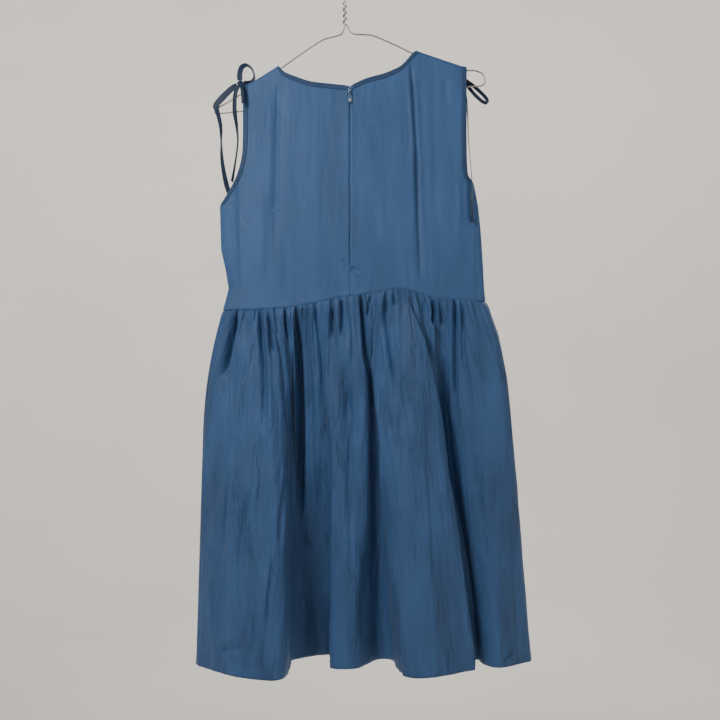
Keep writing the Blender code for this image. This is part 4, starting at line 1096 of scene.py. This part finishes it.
def edge_profile(lines, section, seed, uneven):
    """Rings of a section carried along an edge; lines are runs of points inwards from it."""
    rings = []
    for line, normal in lines:
        at = lengths_along(line)
        outwards = unit(line[0] - line[1])
        ring = []
        for distance, lift in section:
            if distance < 0:
                ring.append(line[0] - outwards * distance + normal[0] * lift)
            else:
                ring.append(columns_at(distance, at, line) + unit(columns_at(distance, at, normal)) * lift)
        rings.append(ring)
    rings = np.array(rings)
    at = lengths_along(rings[:, 0])
    wave = lattice_noise(at / 6.5, at * 0 + 0.3, seed) + 0.6 * lattice_noise(at / 2.8, at * 0, seed + 1)
    normals = np.array([normal[0] for _, normal in lines])
    return rings + normals[:, None, :] * (uneven * wave)[:, None, None]


def edge_lines(points, side, start=0, stop=None):
    """Runs of points inwards from one edge of a panel, with the panel's directions out of the cloth."""
    runs = []
    for grid in (points, grid_normals(points)):
        if side == "top":
            grid = grid[::-1].swapaxes(0, 1)
        elif side == "right":
            grid = grid[:, ::-1]
        runs.append(grid[start:stop, :EDGE_RUN])
    return list(zip(*runs))


def columns_between(points, x_low, x_high):
    """Columns whose upper ends lie between two X."""
    x = points[-1, :, 0]
    inside = np.where((x >= x_low) & (x <= x_high))[0]
    return inside[0], inside[-1] + 1


def bound_edge(name, lines, seed):
    rings = edge_profile(lines, BINDING_SECTION, seed, 0.16)
    round_it = np.cumsum(np.abs(np.gradient(np.array(BINDING_SECTION)[:, 0])))
    piece = loft(name, rings, ring_uvs(round_it, rings[:, 0]), "bound edge")
    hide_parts(name.replace("bound_", ""))
    STITCH_ROUTES.append(rings[1:-1, 4])


def make_bindings():
    left = PIECES["cloth_bodice_back_left"]
    right = PIECES["cloth_bodice_back_right"]
    front = PIECES["cloth_bodice_front"]
    notch = 4.5            # half the width of the V notch at the zip
    for name, points, x_low, x_high, seed in (
            ("bound_neck_binding_back_left", left, -107, CENTRE_BACK - notch, 3),
            ("bound_neck_binding_back_right", right, CENTRE_BACK + notch, 115, 5),
            ("bound_neck_binding_front", front, -107, 115, 7)):
        bound_edge(name, edge_lines(points, "top", *columns_between(points, x_low, x_high)), seed)
    for name, points, side, seed in (
            ("bound_armhole_binding_left_back", left, "left", 9),
            ("bound_armhole_binding_left_front", front, "right", 11),
            ("bound_armhole_binding_right_back", right, "right", 13),
            ("bound_armhole_binding_right_front", front, "left", 15)):
        start = int(points.shape[0] * SIDE_SHARE / (SIDE_SHARE + ARMHOLE_SHARE)) + 1
        bound_edge(name, edge_lines(points, side, start, -1), seed)


# Skirt

def fold_lines(v):
    """X and Y of every fold's line at shares of the skirt's height."""
    folds = np.array(BACK_FOLDS + FRONT_FOLDS, dtype=float)
    front = np.arange(len(folds)) >= len(BACK_FOLDS)
    heights = np.full(len(folds), WAIST_LEVEL)
    angle = np.where(front, angle_at(folds[:, 0], heights, True), angle_at(folds[:, 0], heights, False))
    waist_y = bodice_points(angle, heights)[:, 1]
    t = np.minimum(v[:, None] / MID_LEVEL, 1.0)
    result = []
    for top, mid, hem in ((folds[:, 0], folds[:, 1], folds[:, 3]), (waist_y, folds[:, 2], folds[:, 4])):
        slope_low = (hem - mid) / (1 - MID_LEVEL)
        upper = (top * (2 * t ** 3 - 3 * t * t + 1) + 2 * (mid - top) * (t ** 3 - 2 * t * t + t)
                 + mid * (3 * t * t - 2 * t ** 3) + slope_low * MID_LEVEL * (t ** 3 - t * t))
        lower = mid + slope_low * (v[:, None] - MID_LEVEL)
        result.append(np.where(v[:, None] >= MID_LEVEL, lower, upper))
    return np.stack(result, axis=-1)


def skirt_grid(panel, shares, v):
    """Outline of one skirt panel at every share of its width and height, before the gathers."""
    lines = fold_lines(v)
    count = lines.shape[1]
    seam = len(BACK_FOLDS) - 1
    rows = BACK_FOLDS + FRONT_FOLDS
    if panel == "back":
        first = 0
        used = rows[:seam + 1]
    else:
        first = seam
        used = rows[seam:] + rows[:1]
    hem_points = np.array([(f[3], f[4]) for f in used], dtype=float)
    at = lengths_along(hem_points)
    at = at / at[-1]
    i = np.clip(np.searchsorted(at, shares, side="right") - 1, 0, len(used) - 2)
    t = ((shares - at[i]) / (at[i + 1] - at[i]))[None, :, None]
    n = first + i
    return between_points(lines[:, (n - 1) % count], lines[:, n % count],
                          lines[:, (n + 1) % count], lines[:, (n + 2) % count], t)


def gather_lift(panel, shares, x_waist, down):
    """How far the gathers stand out: rounded ridges between narrow valleys, no two alike."""
    if panel == "back":
        rows = BACK_GATHERS
    else:
        rows = [(208 - 10.9 * k + 1.8 * math.sin(2.4 * k), 2.1 + 0.8 * math.sin(1.7 * k + 1),
                 42 + 20 * math.sin(2.9 * k)) for k in range(37)]
    order = np.argsort(x_waist)
    push = np.zeros((len(down), len(shares)))
    spacing = 1.0 / GATHERS
    for k, (x, depth, run) in enumerate(rows):
        centre = np.interp(x, x_waist[order], shares[order])
        drift = 0.1 * spacing * math.sin(1.9 * k) * smooth_step(down / 90)[:, None]
        wide = spacing * (0.17 + 0.2 * smooth_step(down / (1.8 * run)))[:, None]
        fade = (0.45 + 0.55 * smooth_step(down / 6)) * np.exp(-(down / (1.6 * run)) ** 1.3)
        off = (shares[None, :] - centre - drift) / wide
        push += 2.1 * depth * fade[:, None] * (np.exp(-off * off) - 0.2 * np.exp(-(off - 1.9) ** 2))
    level = down / SKIRT_DROP
    single = read(GATHER_WAVE, level, 1)[:, None]
    paired = read(GATHER_WAVE, level, 2)[:, None]
    seed = 3 if panel == "back" else 17
    across = shares[None, :] * GATHERS
    level = level[:, None]
    uneven = lattice_noise(shares * GATHERS / 3.1, shares * 0 + 0.5, seed + 20)
    push = push * (0.85 + 0.5 * uneven)[None, :]
    wave = 0.4 * single * lattice_noise(across * 1.9, level * 9, seed + 21)
    wave = wave + paired * lattice_noise(across / 1.7 + level, level * 2, seed)
    puff = 1.3 * np.exp(-((down - 9) / 9) ** 2)[:, None]
    return 0.45 * single + puff - push + wave


def make_skirt_panel(panel, shares, seed, creases):
    name = "cloth_skirt_" + panel
    column = 1 if panel == "back" else 2
    down = np.concatenate([[-3.0, -1.5], np.linspace(0, 30, 13), np.linspace(36, 120, 17),
                           np.linspace(128, 545, 56),
                           [549, 553.5, 556.5, 559, 561.5, 565, 570, SKIRT_DROP]])
    level = np.clip(down / SKIRT_DROP, 0, 1)
    plan = skirt_grid(panel, shares, level)
    waist_z = read(WAIST, plan[0, :, 0], column) - SEAM
    v = np.where(down < 0, 0, level)[:, None]
    z = waist_z[None, :] + v * (HEM - waist_z[None, :]) - np.minimum(down, 0)[:, None]
    points = np.concatenate([plan, z[..., None]], axis=-1)[::-1]
    across, other, to_low, to_top = edge_distances(points)
    to_top = to_top - 3.0
    normals = grid_normals(points)
    hold = smooth_step(np.minimum(shares, 1 - shares) * 45)[None, :]
    gathers = gather_lift(panel, shares, plan[0, :, 0], np.maximum(down, 0))[::-1]
    lift = gathers * sizes().gather * hold
    # drawn in under the waist seam
    lift -= 2.4 * (1 - smooth_step((to_top + 3) / 4.5))
    cloth_u = shares[None, :] * CLOTH_WIDTH + 0 * z
    cloth_w = (SKIRT_DROP * (1 - level))[::-1][:, None] + 0 * z
    fade = smooth_step(to_top / 40)
    lift += crinkles(cloth_u, cloth_w, seed, sizes().crinkle) * fade * hold
    if panel == "back":
        x, height = seen_from_back(points)
        facing = smooth_step((-normals[..., 1] - 0.05) / 0.4)
    else:
        x, height = points[..., 0], points[..., 2]
        facing = smooth_step((normals[..., 1] - 0.05) / 0.4)
    hold_top = (0.25 + 0.75 * facing) * smooth_step((to_top + 2) / 8) * hold
    lift -= 2.3 * creased(x, height, creases) * hold_top
    laps = SKIRT_LAPS if panel == "back" else FRONT_LAPS
    lift += lapped(x, height, laps) * hold_top * (0.35 + 0.65 * smooth_step(to_top / 60))
    # turned-up hem: a little thicker, drawn in along its stitching
    band = 1 - smooth_step((to_low - HEM_BAND) / 1.5)
    lift += 0.45 * band - 0.5 * np.exp(-((to_low - HEM_BAND) / 1.2) ** 2)
    lift += 0.5 * lattice_noise(cloth_u / 9, cloth_w / 40, seed + 6) * np.exp(-to_low / 16) * hold
    # the side seams roll in a little
    for distance in (across, other):
        lift -= 0.3 * (1 - smooth_step(distance / 2.2))
    points = points + normals * lift[..., None]
    PIECES[name] = points
    uv = np.stack([cloth_u, -cloth_w], axis=-1)
    shell = cloth_piece(name, points, uv, sizes().cloth_wall / MM, "crinkled cloth")
    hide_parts("skirt_" + panel)
    low = np.argmin(np.abs(to_low[:, 0] - HEM_BAND))
    STITCH_ROUTES.append(points[low, 2:-2] + normals[low, 2:-2] * 0.12)


def make_skirt():
    shares = divisions(470, CLOTH_WIDTH, (0.7, 1.5, 2.6))
    make_skirt_panel("back", shares, 41, SKIRT_CREASES)
    make_skirt_panel("front", shares, 59, FRONT_CREASES)


# Ties

LEFT_KNOT = (-167.2, -2.0, -194.6)
RIGHT_KNOT = (189.0, 11.3, -182.0)


def from_knot(centre, *offsets):
    return [tuple(c + o for c, o in zip(centre, offset)) for offset in offsets]


def in_plane(centre, along, beside, pairs):
    """A route in the plane of two directions, from pairs of distances."""
    along = unit(np.array(along))
    beside = unit(np.array(beside))
    return [tuple(np.array(centre) + along * a + beside * b) for a, b in pairs]


# Tails: name, CAD node, far end, route, directions of the strap's width along it, shares of its width
TAILS = (
    ("tail_left_outer", "tie_tail_left_outer", "bare", from_knot(LEFT_KNOT, (-5.4, 0.2, -1.6)) + [
        (-180, -3.5, -202), (-195, -4.6, -217), (-205.5, -4.6, -230), (-203.5, -4.6, -240),
        (-198.4, -4, -263), (-197.6, -3, -287), (-196, -3, -319), (-190, -3, -353), (-184, -3, -372)],
     ((-0.6, 0, 0.8), (-0.72, 0.1, 0.7), (-0.75, 0.1, 0.66), (-0.95, 0.1, 0.3), (-1, -0.2, 0),
      (-1, -0.4, 0), (-0.4, -1, 0), (-0.9, -0.6, 0), (-1, -0.3, 0), (-1, -0.2, 0)),
     (1, 1.5, 1.7, 1.6, 1.1, 0.95, 0.85, 1, 1.25, 1.1)),
    ("tail_left_inner", "tie_tail_left_inner", "bare", from_knot(LEFT_KNOT, (-3.4, -1.2, -4.4)) + [
        (-175, -4.6, -212), (-176, -5, -238), (-172.8, -4.5, -263), (-171, -4, -287), (-174, -8, -319),
        (-179, -12.5, -353)],
     ((1, 0, 0.3), (1, 0, 0), (1, 0.2, 0), (0.6, 0.8, 0), (0.25, 1, 0), (0.2, 1, 0), (0.5, 0.8, 0.2)),
     (1, 1.1, 1, 1)),
    ("tail_right_back", "tie_tail_right_back", "knot", from_knot(RIGHT_KNOT, (-0.8, 4.9, -3.6)) + [
        (190.5, 18.2, -195), (195, 16.5, -212), (197.5, 11, -240), (198, 4, -280), (200, -4, -318),
        (201.5, -11.8, -350), (201, -14.3, -380), (201.5, -15.6, -410)],
     ((1, 0, 0), (1, 0.2, 0), (0.8, 0.6, 0), (0.4, 1, 0), (0.2, 1, 0.2), (0.1, 1, 0.2), (0.2, 1, 0.1),
      (0.5, 1, 0), (0.7, 0.7, 0)), (1, 1)),
    ("tail_right_front", "tie_tail_right_front", "knot", from_knot(RIGHT_KNOT, (-2.6, 0.2, -4.6)) + [
        (184, 13.5, -202), (179, 17, -228), (176, 20, -262), (176, 22, -300), (177, 22, -350)],
     ((1, 0, 0), (1, 0.2, 0), (1, 0.4, 0), (0.8, 0.6, 0), (1, 0.4, 0), (1, 0.1, 0)), (1, 1)),
)


def knot_piece(name, centre, size, nodes, turn):
    """A pulled knot: a rounded lump with the strap's turns round it."""
    work = bmesh.new()
    bmesh.ops.create_uvsphere(work, u_segments=40, v_segments=28, radius=1.0)
    for vert in work.verts:
        x, y, z = vert.co
        swirl = math.atan2(z, x) + turn
        band = math.exp(-((y * 0.6 + 0.5 * math.sin(swirl)) / 0.35) ** 2)
        fold = 0.07 * math.sin(3 * swirl + 5 * y)
        vert.co = vert.co * (0.86 + 0.16 * band + fold)
        vert.co = Vector([vert.co[k] * size[k] + centre[k] for k in range(3)]) * MM
    layer = work.loops.layers.uv.new("cloth")
    for face in work.faces:
        for loop in face.loops:
            loop[layer].uv = (loop.vert.co.x + loop.vert.co.y, loop.vert.co.z)
    knot = ridden(name, mesh_of(work, name), BODY, "strap cloth")
    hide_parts(*nodes)
    return knot


def make_tails():
    width = sizes().strap_width / MM
    wall = sizes().strap_wall / MM
    back_end = knot_piece("end_knot_back", (201.6, -15.9, -413.6), (3.4, 3.2, 4.0),
                          ["tie_end_knot_right_back"], 0.4)
    front_end = knot_piece("end_knot_front", (177, 22, -353.6), (3.4, 3.2, 4.0),
                           ["tie_end_knot_right_front"], 1.4)
    for name, node, far_end, route, widths, shares in TAILS:
        strap, line = strap_piece(name, route, widths, width, wall, shares=shares)
        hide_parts(node)


def make_bows():
    width = sizes().strap_width / MM
    wall = sizes().strap_wall / MM
    knot_piece("bow_knot_left", LEFT_KNOT, (5.2, 5.0, 5.6), ["tie_knot_left"], 0.0)
    knot_piece("bow_knot_right", RIGHT_KNOT, (4.8, 4.6, 4.8), ["tie_knot_right"], 0.9)
    upper = in_plane(LEFT_KNOT, (0.78, 0.62, 0), (0, 0, 1),
                     ((-0.6, 5.6), (-1, 16), (3, 27), (12, 32), (22, 27), (26, 16), (20, 6), (9, 2.2),
                      (5.6, 1.6)))
    lower = from_knot(LEFT_KNOT, (1.2, -3.4, -4.5), (3.5, -8.5, -12), (5, -10.5, -24), (6, -12.5, -33),
                      (6, -15, -34), (5.5, -15.5, -24), (4, -12.5, -10), (2.5, -5.6, -1.6))
    outward = in_plane(RIGHT_KNOT, (0.707, 0, -0.707), (0.5, 0.707, 0.5),
                       ((4.6, 2.2), (16, 7), (34, 10), (50, 9), (57, 1), (50, -7), (34, -9), (16, -5.5),
                        (4.8, -2)))
    inner = from_knot(RIGHT_KNOT, (-5.6, 0.6, -0.6), (-14, 3.5, -6), (-26, 4.5, -14), (-31, 6.5, -20),
                      (-27, 9, -19), (-15, 8, -9), (-5.3, 3.6, 0.6))
    for name, node, route, across, share in (
            ("bow_loop_left_upper", "tie_loop_left_upper", upper, (
                (-1, 0, -0.3), (-1, -0.05, 0), (-0.9, 0.18, 0.8), (-0.43, 0.55, 1), (0.04, 0.92, 0.8),
                (0.35, 1.17, 0), (0.04, 0.92, -0.8), (-0.28, 0.67, -1), (-0.28, 0.67, -1)), 1.35),
            ("bow_loop_left_lower", "tie_loop_left_lower", lower, ((1, 0.1, 0),), 0.77),
            ("bow_loop_right_outer", "tie_loop_right_outer", outward, ((0.5, -0.707, 0.5),), 1.0),
            ("bow_loop_right_inner", "tie_loop_right_inner", inner, ((0.15, 0, -0.99),), 1.0)):
        loop, _ = strap_piece(name, route, across, width * share, wall, 0.25)
        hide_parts(node)


# Zip

def make_zip():
    rows = []
    for z in np.linspace(ZIP_TOP, ZIP_END, 60):
        depths = []
        for name, column in (("cloth_bodice_back_left", -1), ("cloth_bodice_back_right", 0)):
            line = PIECES[name][:, column]
            line = line[np.argsort(line[:, 2])]
            depths.append(np.interp(z, line[:, 2], line[:, 1]))
        rows.append((z, sum(depths) / 2))
    rows = np.array(rows)
    section = np.array((
        (-12, 0.3), (-6, -0.2), (-2.2, -0.7), (2.2, -0.7), (6, -0.2),
        (12, 0.3), (12, 0.9), (2.2, 0.1), (-2.2, 0.1), (-12, 0.9)))
    rings = np.array([[(CENTRE_BACK + x, y + TAPE_LIFT + d, z) for x, d in section] for z, y in rows])
    at = np.abs(rows[:, 0])
    uvs = np.stack(np.broadcast_arrays(section[:, 0], at[:, None]), axis=-1)
    tape = loft("zip_tape_cloth", rings, uvs, "zip tape cloth")
    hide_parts("zip_tape")
    # two rows of beads, half a step apart, make the coil
    routes = [np.array([(CENTRE_BACK + side, y + TAPE_LIFT + 0.75, z - shift) for z, y in rows[1:-1]])
              for side, shift in ((-0.9, 0.0), (0.9, 0.65))]
    coil = repeated("zip_coil", routes, "zip coil", Spacing=sizes().tooth, Length=0.0009,
                    Width=0.0024, Height=0.0012, Uneven=0.04)
    make_slider()
    make_pull()


def make_slider():
    """A small domed slider with a bridge that holds the pull."""
    centre_y, centre_z = -10.95, -207.9
    half_width, half_depth, half_height = 2.8, 0.9, 4.5
    work = bmesh.new()
    bmesh.ops.create_cube(work, size=1.0)
    bmesh.ops.subdivide_edges(work, edges=work.edges, cuts=7, use_grid_fill=True)
    for vert in work.verts:
        x, y, z = vert.co * 2
        waist = 1 - 0.22 * (0.5 - 0.5 * z) ** 2
        corner = (abs(x) ** 4 + abs(z) ** 4) ** 0.25
        shrink = 1 / corner if corner > 0.75 else 1.0
        round_in = 1 - (1 - min(shrink * max(abs(x), abs(z)), 1.0)) * 0.35
        dome = -0.35 * (1 - x * x) * (1 - z * z) if y < 0 else 0.0
        depth = y * half_depth * (1 - 0.15 * corner ** 4) + dome
        vert.co = Vector((CENTRE_BACK + x * half_width * waist * round_in, centre_y + depth,
                          centre_z + z * half_height * round_in)) * MM
    slider = ridden("slider_body", mesh_of(work, "slider_body"), BODY, "zip paint")
    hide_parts("zip_slider")
    arch = [(CENTRE_BACK, y, z) for y, z in (
        (-11.4, -205.2), (-12.9, -205.3), (-14.1, -206.0), (-14.45, -207.3),
        (-14.45, -209.9), (-13.9, -210.9), (-12.9, -211.4), (-11.4, -211.5))]
    bridge = wire_piece("slider_bridge", smooth_route(arch, 6), 0.55, "zip paint")


def make_pull():
    """The drop-shaped pull: a rounded plate with a raised rim and a slot for the bridge."""
    side = smooth_route((
        (0.0, 0.45), (1.7, 0.45), (2.1, -0.2), (2.1, -3.6), (1.5, -5.2), (1.4, -6.4),
        (2.0, -8.8), (2.9, -12), (3.4, -15), (3.0, -17.6), (1.8, -19.2), (0.0, -19.7)), 6)
    outline = np.vstack([side, side[1:-1][::-1] * (-1, 1)])
    slot = np.array([(1.35 * math.sin(a), -2.05 + 1.75 * math.cos(a))
                     for a in np.linspace(0, 2 * math.pi, len(outline), endpoint=False)])
    # the plate's section: share of the way from the slot to the outline, depth of the front half
    half = ((0.0, -0.2), (0.0, -0.5), (0.12, -0.6), (0.55, -0.42), (0.86, -0.5), (0.97, -0.35))
    section = half + ((1.0, 0.0),) + tuple((share, -depth) for share, depth in half[::-1])
    rings = np.array([[(PULL_AXIS[0] + x, PULL_AXIS[1] + depth, PULL_AXIS[2] + z)
                       for x, z in slot + (outline - slot) * share] for share, depth in section])
    mesh = bpy.data.meshes.new("pull_tab")
    mesh.from_pydata((rings.reshape(-1, 3) * MM).tolist(), [], ring_faces(*rings.shape[:2], joined=True))
    faced_outwards(mesh)
    pull = ridden("pull_tab", mesh, PULL_BODY, "zip paint", "worn pull face")
    # a pale metal oval on both sides is a painted highlight, standing for the glint in the middle of the
    # drop
    for face in mesh.polygons:
        x, _, z = face.center / MM
        off = math.hypot((x - PULL_AXIS[0]) / 1.75, (z - PULL_AXIS[2] + 13.6) / 4.0)
        face.material_index = 1 if off < 1.0 else 0
    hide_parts("zip_pull")


# Sewing

def make_sewing():
    stitches = repeated("stitches", STITCH_ROUTES, "thread", Spacing=sizes().stitch_gap,
                        Length=sizes().stitch, Width=0.0005, Height=0.0005, Uneven=0.12)


# Operators and panel

class Step:
    """Runs its makers in order."""

    def execute(self, context):
        for make in self.makers:
            make()
        return {"FINISHED"}


class DRESS_OT_stage(Step, bpy.types.Operator):
    """Materials, camera, floor and lights"""
    bl_idname = "dress.stage"
    bl_label = "Stage"
    makers = (make_materials, make_camera, make_floor, make_lights)


class DRESS_OT_tails(Step, bpy.types.Operator):
    """The free ends of the shoulder ties"""
    bl_idname = "dress.tails"
    bl_label = "Tie tails"
    makers = (make_tails,)


class DRESS_OT_hanger(Step, bpy.types.Operator):
    """The twisted wire hanger"""
    bl_idname = "dress.hanger"
    bl_label = "Hanger"
    makers = (make_hanger,)


class DRESS_OT_bodice(Step, bpy.types.Operator):
    """Bodice panels and their bound edges"""
    bl_idname = "dress.bodice"
    bl_label = "Bodice"
    makers = (make_bodice, make_bindings)


class DRESS_OT_skirt(Step, bpy.types.Operator):
    """The two gathered skirt panels"""
    bl_idname = "dress.skirt"
    bl_label = "Skirt"
    makers = (make_skirt,)


class DRESS_OT_bows(Step, bpy.types.Operator):
    """Loops and knots of the shoulder bows"""
    bl_idname = "dress.bows"
    bl_label = "Bows"
    makers = (make_bows,)


class DRESS_OT_zip(Step, bpy.types.Operator):
    """Zip tape, coil, slider and pull"""
    bl_idname = "dress.zip"
    bl_label = "Zip"
    makers = (make_zip,)


class DRESS_OT_sewing(Step, bpy.types.Operator):
    """Stitches along the bound edges and the hem"""
    bl_idname = "dress.sewing"
    bl_label = "Sewing"
    makers = (make_sewing,)


STEPS = (DRESS_OT_stage, DRESS_OT_tails, DRESS_OT_hanger, DRESS_OT_bodice, DRESS_OT_skirt,
         DRESS_OT_bows, DRESS_OT_zip, DRESS_OT_sewing)


class DRESS_PT_panel(bpy.types.Panel):
    """Settings and steps of the hung dress"""
    bl_label = "Hung dress"
    bl_idname = "DRESS_PT_panel"
    bl_space_type = "VIEW_3D"
    bl_region_type = "UI"
    bl_category = "Dress"

    def draw(self, context):
        for group in (context.scene.dress_sizes, context.scene.dress_colours):
            for name in group.__annotations__:
                self.layout.prop(group, name)
        for step in STEPS:
            self.layout.operator(step.bl_idname)


CLASSES = (DressSizes, DressColours) + STEPS + (DRESS_PT_panel,)


def register():
    for item in CLASSES:
        bpy.utils.register_class(item)
    bpy.types.Scene.dress_sizes = bpy.props.PointerProperty(type=DressSizes)
    bpy.types.Scene.dress_colours = bpy.props.PointerProperty(type=DressColours)


def unregister():
    del bpy.types.Scene.dress_colours
    del bpy.types.Scene.dress_sizes
    for item in reversed(CLASSES):
        bpy.utils.unregister_class(item)


def main():
    register()
    for step in (bpy.ops.dress.stage, bpy.ops.dress.tails, bpy.ops.dress.hanger, bpy.ops.dress.bodice,
                 bpy.ops.dress.skirt, bpy.ops.dress.bows, bpy.ops.dress.zip, bpy.ops.dress.sewing):
        step()


if __name__ == "__main__":
    main()
